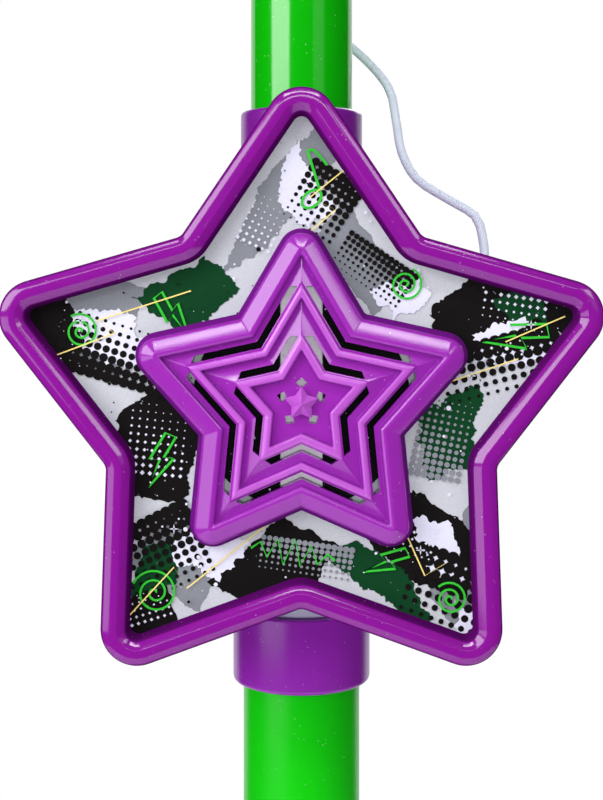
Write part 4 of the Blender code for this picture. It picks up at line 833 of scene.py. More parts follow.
@dataclass
class StarFrame:
    """Rounded purple frame of the star and the shell behind it.

    The bead's corners are shares of its width and of its rise, each with its easing. Those of the back are
    shares of its taper and of its depth, and the shoulder is measured from the seam.
    """

    width: float = 0.0064
    rise: float = 0.0065
    bead: tuple[Triple, ...] = (
        (0.0, 0.78, 0.0007), (0.09, 0.90, 0.0003), (0.27, 0.975, 0.0004), (0.45, 1.0, 0.0010),
        (0.60, 0.992, 0.0002), (0.74, 0.914, 0.0002), (0.93, 0.78, 0.0006))
    # Shares of the rise that end the outer and the inner wall, whose rows take the darker purple as painted
    # shade.
    painted_shade_wall_shares: Spot = (0.865, 0.81)
    skirt: float = 0.006
    skirt_wall: float = 0.0024
    depth: float = 0.0255
    wall: float = 0.0022
    lip: float = 0.0018
    taper: float = 0.0105
    shoulder: Triple = (0.14, 0.3, 0.004)
    back: tuple[Triple, ...] = ((0.28, 0.78, 0.004), (0.45, 0.985, 0.0025))
    card_back: float = 0.0011
    saddle: Spot = (-0.034, 0.030)
    saddle_half_width: float = 0.0210
    saddle_ease: float = 0.002
    core_hole: float = 0.0120
    jack_reach: float = 0.0497
    jack_radius: float = 0.0033

    def bezel(self) -> Piece:
        """Bead of steep walls, a sloping shoulder on each and a low crown between, over a straight skirt.

        Returns:
            The piece.
        """
        sides = [(across * self.width, up * self.rise, ease) for across, up, ease in self.bead]
        bead = rounded([(0.0, CLEARANCE, 0.0), *sides, (self.width, CLEARANCE, 0.0)], steps=6)
        under = [(self.skirt_wall, CLEARANCE), (self.skirt_wall, -self.skirt), (0.0, -self.skirt)]
        loops = FRAME_STAR.loops(np.concatenate([bead, under]))
        # Both walls of the bead take a darker copy of the purple as painted shade; the crown and the skirt keep
        # the plain purple.
        top, last = (np.flatnonzero(bead[:, 1] > share * self.rise)[end]
                     for share, end in zip(self.painted_shade_wall_shares, (0, -1)))
        shape = Surface().grid(loops[:top + 1], slot=1).grid(loops[top:last + 1])
        shape.grid(loops[last:len(bead)], slot=1).grid(np.concatenate([loops[len(bead) - 1:], loops[:1]]))
        made = shape.made("star_frame", FINISHES["purple_plastic"], FINISHES["purple_wall_painted_shade"])
        return put(made, "mast", "star_bezel")

    def shell(self) -> Piece:
        """Star tray with an eased back, posts inside and the saddle that the pole lies in.

        Returns:
            The piece.
        """
        lip = self.skirt_wall + CLEARANCE
        seam = -self.skirt - CLEARANCE
        inner = lip + self.lip
        floor = -(self.depth - self.wall)
        across, down, ease = self.shoulder
        outer = rounded([
            (0.0, seam, 0.0), (across * self.taper, seam - down * self.depth, ease),
            *((across * self.taper, -down * self.depth, ease) for across, down, ease in self.back),
            (self.taper, -self.depth, 0.0)], steps=8)
        inside = np.array([
            (self.taper, floor), (0.5 * self.taper + self.wall, floor + 0.001),
            (0.28 * self.taper + self.wall, -0.7 * self.depth), (inner, seam),
            (inner, -self.card_back), (lip, -self.card_back), (lip, seam)])
        loops = FRAME_STAR.loops(np.concatenate([outer, inside]))
        shape = Surface().grid(loops, True).polygons(loops[[len(outer) - 1, len(outer)]])
        made = shape.made("star_shell", FINISHES["purple_plastic"])
        root = -(self.depth - self.wall / 2)
        hole = PEGS.radius + CLEARANCE
        low, high = self.saddle
        block = slab(self.saddle_half_width, low, high, self.saddle_ease)
        jack = STAR.moved(*along_arm(1, [(0.0, self.jack_reach)])[0], 0.0)
        added, cuts = Surface(), Surface()
        cuts.rod(self.core_hole, STAR_Z + low - self.wall, STAR_Z + high + self.wall)
        cuts.rod(self.jack_radius, -self.depth - self.wall, -self.depth + 2 * self.wall, jack, 40)
        for place in PEGS.places():
            added.rod(hole + PEGS.post_wall, root, -self.card_back, place, 32)
            cuts.rod(hole, -PEGS.length - CLEARANCE, 0.0, place, 32)
        carve(made, added.prism(block, (root, -(STAR_FACE - CLEARANCE / 2)), STAR), "UNION")
        carve(made, cuts)
        return put(made, "mast", "rear_shell")

    def build(self) -> list[Piece]:
        """Builds the frame and the shell on the mast."""
        return [self.bezel(), self.shell()]


@dataclass
class StarGrille:
    """Raised grille of nested saw-tooth stars with chevron slots and a small faceted star.

    A slot is its outer edge distance, its width and its reach along the arms.
    A hole is its start, its end and half its width.
    """

    rise: float = 0.0079
    slope: float = 0.46
    crisp: float = 14.0
    crevice: float = 0.0053
    back: float = 0.0034
    rim_crest: float = 0.0178
    rim_skirt: float = 0.0018
    painted_shade_rim_share: float = 0.66
    painted_highlight_share: float = 0.92
    outer_slot: Triple = (0.0161, 0.0016, 0.0271)
    inner_crest: float = 0.0127
    inner_slot: Triple = (0.0102, 0.00165, 0.0156)
    plate_crest: float = 0.0066
    drop: float = 0.0006
    hole: Triple = (0.0034, 0.0060, 0.00135)
    star_radii: Spot = (0.0041, 0.0024)
    star_rise: float = 0.0030
    star_gap: float = 0.0012
    star_point: float = 0.0005
    stem: float = 0.0019
    crease: float = 0.00012

    def section(self) -> Array:
        """Section of (edge distance, rise): a faceted rim, then drops, slopes with slots, and ridges.

        Returns:
            Points of the section, from the rim inwards.
        """
        edge = GRILLE_STAR.edge
        shoulder = edge - self.rim_crest
        crest, crease = self.drop, self.crease
        start = self.rim_crest - crest
        corners = [(edge, CLEARANCE, 0.0), (edge, 0.28 * self.rise, 0.0005),
                   (edge - 0.26 * shoulder, 0.765 * self.rise, 0.0006),
                   (edge - 0.88 * shoulder, 0.985 * self.rise, 0.0006),
                   (self.rim_crest - 0.5 * crest, self.rise - 0.9 * crest, 0.0003),
                   (start, self.crevice, crease)]
        for slot, ridge in ((self.outer_slot, self.inner_crest), (self.inner_slot, self.plate_crest)):
            inner = slot[0] - slot[1]
            foot = inner - 0.25 * crest
            corners += [(foot, self.crevice + self.slope * (start - foot), 0.0),
                        (ridge + 0.6 * (inner - ridge), self.rise - 0.7 * crest, 0.0005),
                        (ridge, self.rise - 0.3 * crest, 0.0005),
                        (ridge - 0.6 * crest, self.rise - 1.4 * crest, 0.0003),
                        (ridge - crest, self.crevice, crease)]
            start = ridge - crest
        return rounded(corners)

    def slot_loop(self, valley: int, slot: Triple) -> Array:
        """Chevron round one valley: two lines parallel to the edges, cut at a reach along each arm.

        Args:
            valley: Number of the valley.
            slot: Sizes of the slot.

        Returns:
            Corners (x, z).
        """
        edge, width, reach = slot
        half = GRILLE_STAR.half_angle
        made = []
        for line, arms in ((edge, (valley, valley + 1)), (edge - width, (valley + 1, valley))):
            across = (line - reach * math.sin(half)) / math.cos(half)
            ends = [along_arm(arm, [(across if arm == valley else -across, reach)]) for arm in arms]
            made += [ends[0], along_arm(valley + 0.5, [(0.0, line / math.cos(GRILLE_STAR.lean))]), ends[1]]
        return np.concatenate(made)

    def centre_star(self) -> Surface:
        """Small star of ten facets that rise to a point, on a short stem.

        Returns:
            The star as a solid.
        """
        base = self.crevice + self.star_gap
        flat = np.concatenate([along_arm(step / 2, [(0.0, self.star_radii[step % 2])])
                               for step in range(2 * ARMS)])
        stem = arc(self.stem, 0.0, 2 * math.pi * (1 - 1 / (2 * ARMS)), 2 * ARMS - 1)
        levels = ((stem, self.crevice - self.drop), (stem, base), (flat, base), (flat, base + self.drop),
                  (self.star_point * flat, base + self.star_rise))
        return Surface().stack(STAR.at(np.concatenate([lifted(points, [rise]) for points, rise in levels])))

    def paint_highlights(self, mesh: bpy.types.Mesh, slot: int) -> None:
        """Gives the tops of the inner ridges and the faces of the centre star a paler copy of the lilac, as
        painted highlight.

        Args:
            mesh: The grille's mesh.
            slot: Number of the finish.
        """
        count = len(mesh.polygons)
        centres, slots = np.empty(3 * count), np.empty(count, np.int32)
        mesh.polygons.foreach_get("center", centres)
        mesh.polygons.foreach_get("material_index", slots)
        x, y, z = centres.reshape(-1, 3).T
        flat, rise = np.stack([x, z - STAR_Z], axis=-1), -y - STAR_FACE
        # Faces that take the painted highlight: high ridge tops inside the outer slots, and the centre star's
        # faces.
        ridges = GRILLE_STAR.holds(flat, GRILLE_STAR.edge - self.outer_slot[0])
        ridges &= rise > self.painted_highlight_share * self.rise
        star = np.linalg.norm(flat, axis=1) < self.star_radii[0]
        star &= rise > self.crevice + self.star_gap + CLEARANCE / 2
        mesh.polygons.foreach_set("material_index", np.where(ridges | star, slot, slots).astype(np.int32))

    def build(self) -> list[Piece]:
        """Builds the grille on the mast.

        Returns:
            The pieces.
        """
        front = self.section()
        skirt = GRILLE_STAR.edge - self.rim_skirt
        rows = np.concatenate([front, [(front[-1][0], self.back), (skirt, self.back), (skirt, CLEARANCE)]])
        loops = GRILLE_STAR.loops(np.stack([GRILLE_STAR.edge - rows[:, 0], rows[:, 1]], axis=-1))
        cut = len(front)
        # Rows of the rim's outer wall, below this share of the rise, take the darker lilac_wall finish as
        # painted shade.
        wall = int(np.argmax(front[:, 1] > self.painted_shade_rim_share * self.rise))
        shape = Surface().grid(loops[:wall + 1], slot=1).grid(loops[wall:cut])
        shape.grid(np.concatenate([loops[cut:], loops[:1]])).polygons(loops[[cut - 1, cut]])
        # Finishes: plain lilac, lilac_wall with painted shade on the outer wall, lilac_pale with painted
        # highlight on the ridge tops.
        finishes = [FINISHES[f"lilac_{part}"] for part in ("plastic", "wall", "pale")]
        made = shape.made("star_grille", *finishes, sharp=self.crisp)
        pegs, cuts = Surface(), Surface()
        for place in PEGS.places():
            pegs.rod(PEGS.radius, -PEGS.length, self.crevice, place, 24)
        start, end, half = self.hole
        middle, levels = (start + end) / 2, (CLEARANCE, 2 * self.rise)
        for arm in range(ARMS):
            for slot in (self.outer_slot, self.inner_slot):
                cuts.prism(self.slot_loop(arm, slot), levels, STAR)
            kite = along_arm(arm, [(0.0, start), (half, middle), (0.0, end), (-half, middle)])
            cuts.prism(kite, levels, STAR)
        for change, operation in ((pegs, "UNION"), (cuts, "DIFFERENCE"), (self.centre_star(), "UNION")):
            carve(made, change, operation, self.crisp)
        self.paint_highlights(made.data, finishes.index(FINISHES["lilac_pale"]))
        return [put(made, "mast", "grille")]


@dataclass(frozen=True)
class Halftone:
    """A turned lattice of dots whose radius, as a share of the pitch, goes from low to high across it."""

    x: float
    z: float
    pitch: float
    columns: int
    rows: int
    turn: float
    ink: Ink
    low: float
    high: float
    sides: int


HALFTONES = (
    Halftone(0.047, 0.0085, 0.0023, 13, 6, -0.25, Ink.SOOT, 0.14, 0.72, 16),
    Halftone(0.005, 0.0470, 0.0018, 8, 9, 0.55, Ink.SOOT, 0.10, 0.70, 16),
    Halftone(-0.045, 0.0120, 0.0021, 14, 7, 0.30, Ink.SOOT, 0.72, 0.10, 16),
    Halftone(0.035, -0.0460, 0.0025, 9, 8, 0.35, Ink.SOOT, 0.12, 0.70, 16),
    Halftone(-0.033, -0.0360, 0.0021, 10, 9, -0.45, Ink.SOOT, 0.10, 0.70, 16),
    Halftone(0.017, 0.0310, 0.0014, 14, 7, 0.60, Ink.SOOT, 0.10, 0.62, 12),
    Halftone(0.001, -0.0370, 0.0014, 16, 6, 0.15, Ink.GREY, 0.14, 0.55, 12),
    Halftone(0.033, -0.0090, 0.0016, 8, 12, 0.20, Ink.GREY, 0.55, 0.10, 12),
    Halftone(0.050, 0.0210, 0.0018, 9, 5, 0.15, Ink.PALE, 0.05, 0.34, 4),
    Halftone(-0.034, -0.0090, 0.0018, 8, 10, 0.10, Ink.PALE, 0.34, 0.04, 4),
    Halftone(-0.009, 0.0420, 0.0016, 6, 8, 0.45, Ink.PALE, 0.34, 0.04, 4),
    Halftone(0.025, -0.0330, 0.0017, 8, 6, 0.30, Ink.PALE, 0.04, 0.32, 4),
    Halftone(-0.038, -0.0480, 0.0016, 9, 6, -0.30, Ink.PALE, 0.30, 0.04, 4),
)
# Motif, middle (x, z), size and turn.
MOTIFS = (
    (Motif.NOTE, 0.0030, 0.0530, 0.0062, -0.3),
    (Motif.BOLT, 0.0505, 0.0150, 0.0078, 1.25),
    (Motif.CURL, -0.0345, -0.0450, 0.0055, 0.4),
    (Motif.BOLT, -0.0300, 0.0205, 0.0060, -0.8),
    (Motif.CURL, 0.0350, -0.0465, 0.0040, 0.8),
    (Motif.CURL, 0.0245, 0.0275, 0.0040, 2.0),
    (Motif.BOLT, -0.0330, -0.0140, 0.0066, 0.25),
    (Motif.CURL, -0.0520, 0.0165, 0.0042, 1.0),
    (Motif.BOLT, 0.0200, -0.0380, 0.0056, 1.0),
    (Motif.WAVE, -0.0020, -0.0360, 0.0100, 0.15),
)
# Ink, greatest tear, and corners (x, z), in millimetres.
PATCHES = (
    (Ink.GREY, 0.5, ((10, 47), (24, 29), (17, 20), (3, 38))),
    (Ink.GREY, 0.5, ((-68, 18), (-58, 30), (-36, 27), (-45, 4))),
    (Ink.GREY, 0.5, ((40, -22), (30, -46), (44, -62), (48, -40))),
    (Ink.GREY, 0.5, ((-31, -26), (-16, -33), (-24, -50), (-42, -38))),
    (Ink.GREY, 0.7, ((-20, 29), (-9, 52), (-2, 60), (5, 66), (9, 57), (0, 47), (-8, 36))),
    (Ink.SOOT, 0.8, ((30, 21), (40, 30), (68, 28), (66, 17), (48, 13), (34, 9))),
    (Ink.SOOT, 0.8, ((13, -29), (27, -21), (43, -33), (39, -46), (24, -42))),
    (Ink.SOOT, 0.7, ((-22, -43), (-5, -27), (9, -34), (3, -43), (-9, -48))),
    (Ink.SOOT, 0.8, ((-44, -4), (-30, 6), (-23, -6), (-28, -24), (-43, -22))),
    (Ink.SOOT, 0.6, ((-70, 22), (-60, 30), (-50, 15), (-58, 8))),
    (Ink.SOOT, 0.6, ((-48, -62), (-29, -52), (-33, -41), (-46, -45))),
    (Ink.FOREST, 1.0, ((-40, 24), (-22, 34), (-15, 27), (-27, 15))),
    (Ink.FOREST, 1.0, ((27, -3), (43, 5), (40, -15), (29, -19))),
    (Ink.FOREST, 1.0, ((5, -37), (20, -47), (32, -56), (24, -39), (13, -33))),
    (Ink.FOREST, 0.8, ((45, 24), (56, 27), (58, 19), (49, 18))),
    (Ink.FOREST, 0.8, ((-41, -46), (-30, -43), (-27, -31), (-37, -34))),
    (Ink.PALE, 1.3, ((40, 16), (52, 19), (62, 12), (50, 8), (41, 9))),
    (Ink.PALE, 1.2, ((-6, 49), (-1, 63), (3, 52), (9, 45), (1, 41))),
    (Ink.PALE, 1.3, ((-54, 22), (-41, 21), (-36, 9), (-46, 8), (-52, 13))),
    (Ink.PALE, 1.2, ((25, -27), (36, -29), (40, -43), (31, -40))),
    (Ink.PALE, 1.2, ((-25, -28), (-12, -33), (-19, -42), (-31, -37))),
    (Ink.PALE, 1.1, ((16, 26), (27, 31), (30, 24), (22, 19))),
    (Ink.PALE, 1.0, ((36, -47), (43, -50), (43, -60), (37, -57))),
)
# Start (x, z) and legs of each thin line.
GOLD_LINES = (
    ((-0.060, 0.010), ((0.016, 0.006), (-0.004, 0.003), (0.022, 0.007))),
    ((0.062, 0.020), ((-0.014, -0.006), (0.003, -0.004), (-0.018, -0.006))),
    ((-0.042, -0.052), ((0.012, 0.013), (0.003, -0.005), (0.020, 0.016))),
    ((0.044, -0.054), ((-0.010, 0.016), (-0.005, -0.003), (-0.008, 0.018))),
    ((0.012, 0.056), ((-0.010, -0.008), (0.006, -0.003), (-0.012, -0.010))),
)
# Middles (x, z) of the sparks.
SPARKS = ((-0.052, 0.019), (0.040, 0.006), (-0.030, -0.030), (0.006, 0.033), (0.028, -0.035), (0.054, 0.018))


@dataclass
class CardPrint:
    """Print on the star's card: patches, halftone dots, line motifs and spatter, in layers of flat faces."""

    margin: float = 0.0032
    layer: float = 0.000012
    level: float = 0.00002
    seed: int = 7
    millimetre: float = 0.001
    strip: tuple[Spot, ...] = ((-4.8, -24.0), (-4.8, 30.0), (4.8, 30.0), (4.8, -24.0))
    tear_step: float = 0.55
    tear: int = 4
    short_tear: float = 0.4
    least_dot: float = 0.08
    dot_margin: float = 0.6
    gold_width: float = 0.00032
    spark_size: float = 0.0012
    spatter: tuple[tuple[Ink, int], ...] = ((Ink.SOOT, 260), (Ink.PALE, 520))
    spatter_half: float = 0.065
    spatter_margin: float = 0.001
    spatter_gamma: Spot = (1.3, 0.00010)
    spatter_radii: Spot = (0.00006, 0.0006)
    spatter_sides: int = 8
    inks: tuple[Ink, ...] = tuple(Ink)
    shape: Surface = field(default_factory=Surface)

    def kites(self) -> list[Array]:
        """Half-planes (normal x, normal z, limit) of the five kites that make up the card's star.

        Returns:
            Rows of half-planes, one array for each kite.
        """
        edge = FRAME_STAR.edge - self.margin
        half, sector = FRAME_STAR.half_angle, math.pi / ARMS
        local = np.array([(side * math.cos(angle), up * math.sin(angle), limit)
                          for angle, up, limit in ((half, 1, edge), (sector, -1, 0.0)) for side in (1, -1)])
        return [np.concatenate([along_arm(arm, local[:, :2]), local[:, 2:]], axis=1) for arm in range(ARMS)]

    def lay(self, flat: Array, ink: Ink) -> None:
        """Lays a convex loop on the card, cut along the star's edge and split where its arms meet.

        Args:
            flat: Points (x, z) of the loop.
            ink: The ink.
        """
        for planes in self.kites():
            loop = flat
            for plane in planes:
                loop = self.cut(loop, plane)
                if len(loop) < 3:
                    break
            else:
                self.face(loop[None], ink)

    @staticmethod
    def cut(loop: Array, plane: Array) -> Array:
        """Part of a loop on one side of a line: kept corners, and points where its sides cross the line.

        Args:
            loop: Points (x, z).
            plane: Normal x, normal z and limit of the line.

        Returns:
            The points kept.
        """
        over = loop @ plane[:2] - plane[2]
        after = np.roll(over, -1)
        cross = over * after < 0
        share = np.where(cross, over / np.where(cross, over - after, 1.0), 0.0)[:, None]
        crossing = loop + share * (np.roll(loop, -1, axis=0) - loop)
        pairs = np.stack([loop, crossing], axis=1).reshape(-1, 2)
        return pairs[np.stack([over <= 0, cross], axis=1).reshape(-1)]

    def face(self, loops: Array, ink: Ink) -> None:
        """Adds flat loops on the present layer."""
        points = np.concatenate([loops, np.full((*loops.shape[:2], 1), self.level)], axis=2)
        self.shape.polygons(STAR.at(points), self.inks.index(ink))

    def discs(self, spots: Array, radius: Array, sides: int, ink: Ink) -> None:
        """Adds round dots and goes up one layer."""
        self.face(spots[:, None] + radius[:, None, None] * polar(1.0, -circle(sides)), ink)
        self.level += self.layer

    def torn(self, corners: Sequence[Spot], ink: Ink, draw: np.random.Generator, ragged: float) -> None:
        """Torn patch: a polygon whose sides wander at random, in long tears with short ones on them.

        Args:
            corners: Corners (x, z) in millimetres, seen from its middle in turn.
            ink: The ink.
            draw: Source of random numbers.
            ragged: Greatest shift of a long tear, in millimetres.
        """
        spots = np.array(corners, float)
        parts = []
        for start, end in zip(spots, np.roll(spots, -1, axis=0)):
            way = end - start
            count = max(self.tear, round(float(np.linalg.norm(way)) / self.tear_step))
            number = np.arange(count)
            knots = np.linspace(0, count, count // self.tear + 2)
            shift = np.interp(number, knots, draw.uniform(-ragged, ragged, len(knots)))
            shift += self.short_tear * ragged * draw.uniform(-1.0, 1.0, count)
            side = np.array([-way[1], way[0]]) / np.linalg.norm(way)
            parts.append(start + number[:, None] / count * way + shift[:, None] * side)
        rim = self.millimetre * np.concatenate(parts)
        for triangle in tessellate_polygon([[Vector((x, z, 0.0)) for x, z in rim]]):
            self.lay(rim[list(triangle)], ink)
        self.level += self.layer

    def dots(self, tone: Halftone) -> None:
        """Halftone in two layers, so that dots that grow into their neighbours don't share a plane.

        Args:
            tone: The lattice.
        """
        across, along = np.meshgrid(np.arange(tone.columns), np.arange(tone.rows), indexing="ij")
        share = 0.75 * (along / (tone.rows - 1)) + 0.25 * (across / (tone.columns - 1))
        radius = (tone.pitch * (tone.low + (tone.high - tone.low) * share)).ravel()
        flat = np.stack([across - (tone.columns - 1) / 2, along - (tone.rows - 1) / 2], axis=-1)
        spots = rotated(tone.pitch * flat.reshape(-1, 2), tone.turn) + (tone.x, tone.z)
        inside = FRAME_STAR.holds(spots, self.margin + self.dot_margin * tone.pitch)
        keep = inside & (radius > self.least_dot * tone.pitch)
        for parity in (0, 1):
            chosen = keep & ((across + along).ravel() % 2 == parity)
            self.discs(spots[chosen], radius[chosen], tone.sides, tone.ink)

    def stroke(self, points: Array, width: float, ink: Ink, closed: bool = False) -> None:
        """Line of one width: at each point the two sides lie half a width along the mitre.

        Args:
            points: Points (x, z).
            width: Line width.
            ink: The ink.
            closed: Whether the last point joins the first.
        """
        line = np.asarray(points, float)
        if closed:
            line = np.concatenate([line[-1:], line, line[:1]])
        way = np.concatenate([line[1:], line[-1:]]) - np.concatenate([line[:1], line[:-1]])
        if closed:
            line, way = line[1:-1], way[1:-1]
        way = way / np.linalg.norm(way, axis=1, keepdims=True)
        side = np.stack([-way[:, 1], way[:, 0]], axis=-1) * width / 2
        left, right = line + side, line - side
        if closed:
            left, right = np.concatenate([left, left[:1]]), np.concatenate([right, right[:1]])
        quads = np.stack([left[:-1], left[1:], right[1:], right[:-1]], axis=1)
        self.face(quads[FRAME_STAR.holds(quads, self.margin).all(axis=1)], ink)
        self.level += self.layer

    @staticmethod
    def lines(motif: Motif) -> list[tuple[Array, bool]]:
        """Lines of a motif of unit size, each with whether it closes.

        Args:
            motif: A flash of seven corners, a note, a spiral of two and a half turns, or a sound trace.

        Returns:
            Points (x, z) of each line.
        """
        if motif is Motif.BOLT:
            return [(np.array([(-0.1, 1.0), (-0.42, -0.05), (-0.06, 0.02), (-0.2, -1.0), (0.42, 0.2),
                               (0.06, 0.14), (0.3, 0.95)]), True)]
        if motif is Motif.NOTE:
            head = rotated(polar(1.0, circle(20)) * (0.42, 0.28), -0.4) + (-0.35, -0.8)
            share = np.linspace(0, 1, 12)
            flag = np.stack([0.04 + 0.55 * share, 1.0 - 0.75 * share + 0.25 * np.sin(np.pi * share)], axis=-1)
            return [(head, True), (np.array([(0.04, -0.72), (0.04, 1.0)]), False), (flag, False)]
        if motif is Motif.CURL:
            angle = np.linspace(0.6, 5 * np.pi, 60)
            return [(polar(angle / angle[-1], angle), False)]
        height = np.array([0.0, 0.3, -0.25, 0.5, -0.45, 0.6, -0.4, 0.45, -0.25, 0.2, 0.0])
        return [(np.stack([np.linspace(-1.0, 1.0, 11), 0.6 * height], axis=-1), False)]

    def motifs(self) -> None:
        """Line motifs, thin broken lines and four-pointed sparks of two crossed kites."""
        for motif, x, z, size, turn in MOTIFS:
            for points, closed in self.lines(motif):
                self.stroke(rotated(size * points, turn) + (x, z), motif.width, Ink.LIME, closed)
        for start, legs in GOLD_LINES:
            points = np.concatenate([[start], start + np.cumsum(legs, axis=0)])
            self.stroke(points, self.gold_width, Ink.GOLD)
        kite = self.spark_size * np.array([(0.0, 1.0), (0.2, 0.0), (0.0, -1.0), (-0.2, 0.0)])
        for spot in SPARKS:
            for turn in (0.0, math.pi / 2):
                self.face((rotated(kite, turn) + spot)[None], Ink.PALE)
        self.level += self.layer

    def build(self) -> list[Piece]:
        """Builds the print on the mast, just in front of the card, from the plain strip up.

        Returns:
            The pieces.
        """
        draw = np.random.default_rng(self.seed)
        self.lay(self.millimetre * np.array(self.strip), Ink.CLEAR)
        self.level += self.layer
        for ink, ragged, corners in PATCHES:
            self.torn(corners, ink, draw, ragged)
        for tone in HALFTONES:
            self.dots(tone)
        self.motifs()
        for ink, count in self.spatter:
            spots = draw.uniform(-self.spatter_half, self.spatter_half, (count, 2))
            radius = draw.gamma(*self.spatter_gamma, count).clip(*self.spatter_radii)
            keep = FRAME_STAR.holds(spots, self.margin + self.spatter_margin)
            self.discs(spots[keep], radius[keep], self.spatter_sides, ink)
        made = self.shape.made("card_print", *PRINT, solid=False)
        return [put(made, "mast")]


@dataclass
class Pole:
    """Telescoping pole: tubes, collars and the white inner tube."""

    lower_radius: float = 0.0154
    lower_wall: float = 0.0016
    lower_ends: Spot = (0.0128, 0.3128)
    core_radius: float = 0.0117
    core_wall: float = 0.0015
    core_ends: Spot = (0.0557, 0.4957)
    upper_radius: float = 0.0135
    upper_ends: Spot = (0.4400, 0.6060)
    lower_collar: Triple = (0.01815, 0.3042, 0.3234)
    upper_collar: Triple = (0.01615, 0.4357, 0.4545)
    flange: float = 0.0030
    shoulder: float = 0.0040
    ease: float = 0.0013
    lip_ease: float = 0.0006
    dish_depth: float = 0.0018
    rim: float = 0.0011

    def collars(self, hole: float) -> list[Piece]:
        """Lower collar with a dished top, and upper collar with a shoulder under the tube, whose darker violet
        is painted shade.

        Args:
            hole: Radius of the hole for the inner tube.

        Returns:
            The two collars.
        """
        radius, bottom, top = self.lower_collar
        sleeve, seat, dish = self.lower_radius + CLEARANCE, top - self.flange, top - self.dish_depth
        low = turned("lower_collar_skin", [
            (hole, dish, EASE), (radius - 2 * self.rim, dish, EASE), (radius - self.rim, top, EASE),
            (radius, top, self.lip_ease), (radius, bottom, self.ease), (sleeve, bottom, EASE),
            (sleeve, seat, 0.0), (hole, seat, 0.0)], "violet_plastic")
        radius, bottom, top = self.upper_collar
        sleeve, seat = self.upper_radius + CLEARANCE, bottom + self.shoulder
        high = turned("upper_collar_skin", [
            (sleeve, top, EASE), (radius, top, self.ease), (radius, bottom, self.ease), (hole, bottom, EASE),
            (hole, seat, 0.0), (sleeve, seat, 0.0)], "violet_painted_shade")
        return [put(low, "stand", "lower_collar"),
                put(high, "mast", "upper_collar")]

    def build(self) -> list[Piece]:
        """Builds the pole: lower pieces on the stand, upper pieces on the mast.

        Returns:
            The pieces.
        """
        hole = self.core_radius + CLEARANCE
        lower = (self.lower_radius - self.lower_wall, self.lower_radius)
        core = (self.core_radius - self.core_wall, self.core_radius)
        return [
            put(pipe("lower_tube_skin", lower, self.lower_ends, "green_satin"),
                "stand", "lower_tube"),
            # The upper tube takes the darker green as painted shade.
            put(pipe("upper_tube_skin", (hole, self.upper_radius), self.upper_ends, "green_painted_shade"),
                "mast", "upper_tube"),
            put(pipe("inner_tube_skin", core, self.core_ends, "white_plastic"),
                "mast", "core_tube"),
            *self.collars(hole)]


@dataclass
class Lead:
    """White lead from the microphone to its plug behind the star, wound round the upper tube."""

    radius: float = 0.0012
    wound_on: float = 0.0135
    turns: int = 4
    pitch: float = 0.022
    start: float = 0.1035
    control_points: int = 24
    points_per_turn: int = 48
    step: float = 0.003
    plug_end: Triple = (0.04727, -0.0114, 0.03316)
    boot_end: float = -0.0826
    sides: int = 16
    sharp: float = 60.0
    from_plug: tuple[Triple, ...] = (
        (0.0472, -0.0080, 0.0400), (0.0455, -0.0060, 0.0455), (0.0385, -0.0030, 0.0502),
        (0.0309, 0.0010, 0.0557), (0.0271, 0.0050, 0.0633), (0.0258, 0.0090, 0.0727),
        (0.0238, 0.0125, 0.0822), (0.0150, 0.0152, 0.0925))
    to_microphone: tuple[Triple, ...] = (
        (-0.0140, 0.0195, 0.1920), (-0.0195, 0.0310, 0.1885), (-0.0195, 0.0480, 0.1845),
        (-0.0150, 0.0680, 0.1835), (-0.0085, 0.0850, 0.1880), (-0.0030, 0.0930, 0.1985),
        (0.0000, 0.0900, 0.2095))

    def wound(self, turn: Array) -> Array:
        """Points of the winding at a number of turns: a helix of one pitch round the tube."""
        flat = polar(self.wound_on + CLEARANCE + self.radius, math.pi / 2 + 2 * math.pi * turn)
        return np.concatenate([flat, (STAR_Z + self.start + self.pitch * turn)[:, None]], axis=1)

    def route(self) -> Array:
        """Centre line from the plug to the microphone: free bow, winding, free bow.

        Returns:
            Points of the line.
        """
        star = np.array((0.0, 0.0, STAR_Z))
        plug = star + self.plug_end
        boot = MIC.at((0.0, 0.0, self.boot_end))
        out_of_boot = boot - 2 * self.radius * np.array(MIC_AXIS)
        near = self.wound(np.array([0.0, 1.0 / self.control_points]))
        far = self.wound(self.turns - np.array([1.0 / self.control_points, 0.0]))
        first = np.concatenate([[plug, plug + (0.0, 0.0, 2 * self.radius)], star + self.from_plug, near])
        last = np.concatenate([far, star + self.to_microphone, [out_of_boot, boot]])
        inward, outward = through(first, self.step), through(last, self.step)
        inward = inward[: int(np.argmin(np.linalg.norm(inward - near[0], axis=1)))]
        outward = outward[int(np.argmin(np.linalg.norm(outward - far[1], axis=1))) + 1:]
        turn = np.linspace(0.0, self.turns, self.turns * self.points_per_turn + 1)
        return np.concatenate([inward, self.wound(turn), outward])

    def build(self, plug: Piece) -> list[Piece]:
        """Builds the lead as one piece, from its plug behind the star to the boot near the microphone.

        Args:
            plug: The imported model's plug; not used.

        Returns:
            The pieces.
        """
        path = self.route()[::-1]
        shape = Surface().stack(tube(path, self.radius, self.sides))
        made = shape.made("lead_cable", FINISHES["white_cable"], sharp=self.sharp)
        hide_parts("lead")
        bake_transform(made)
        return [made]


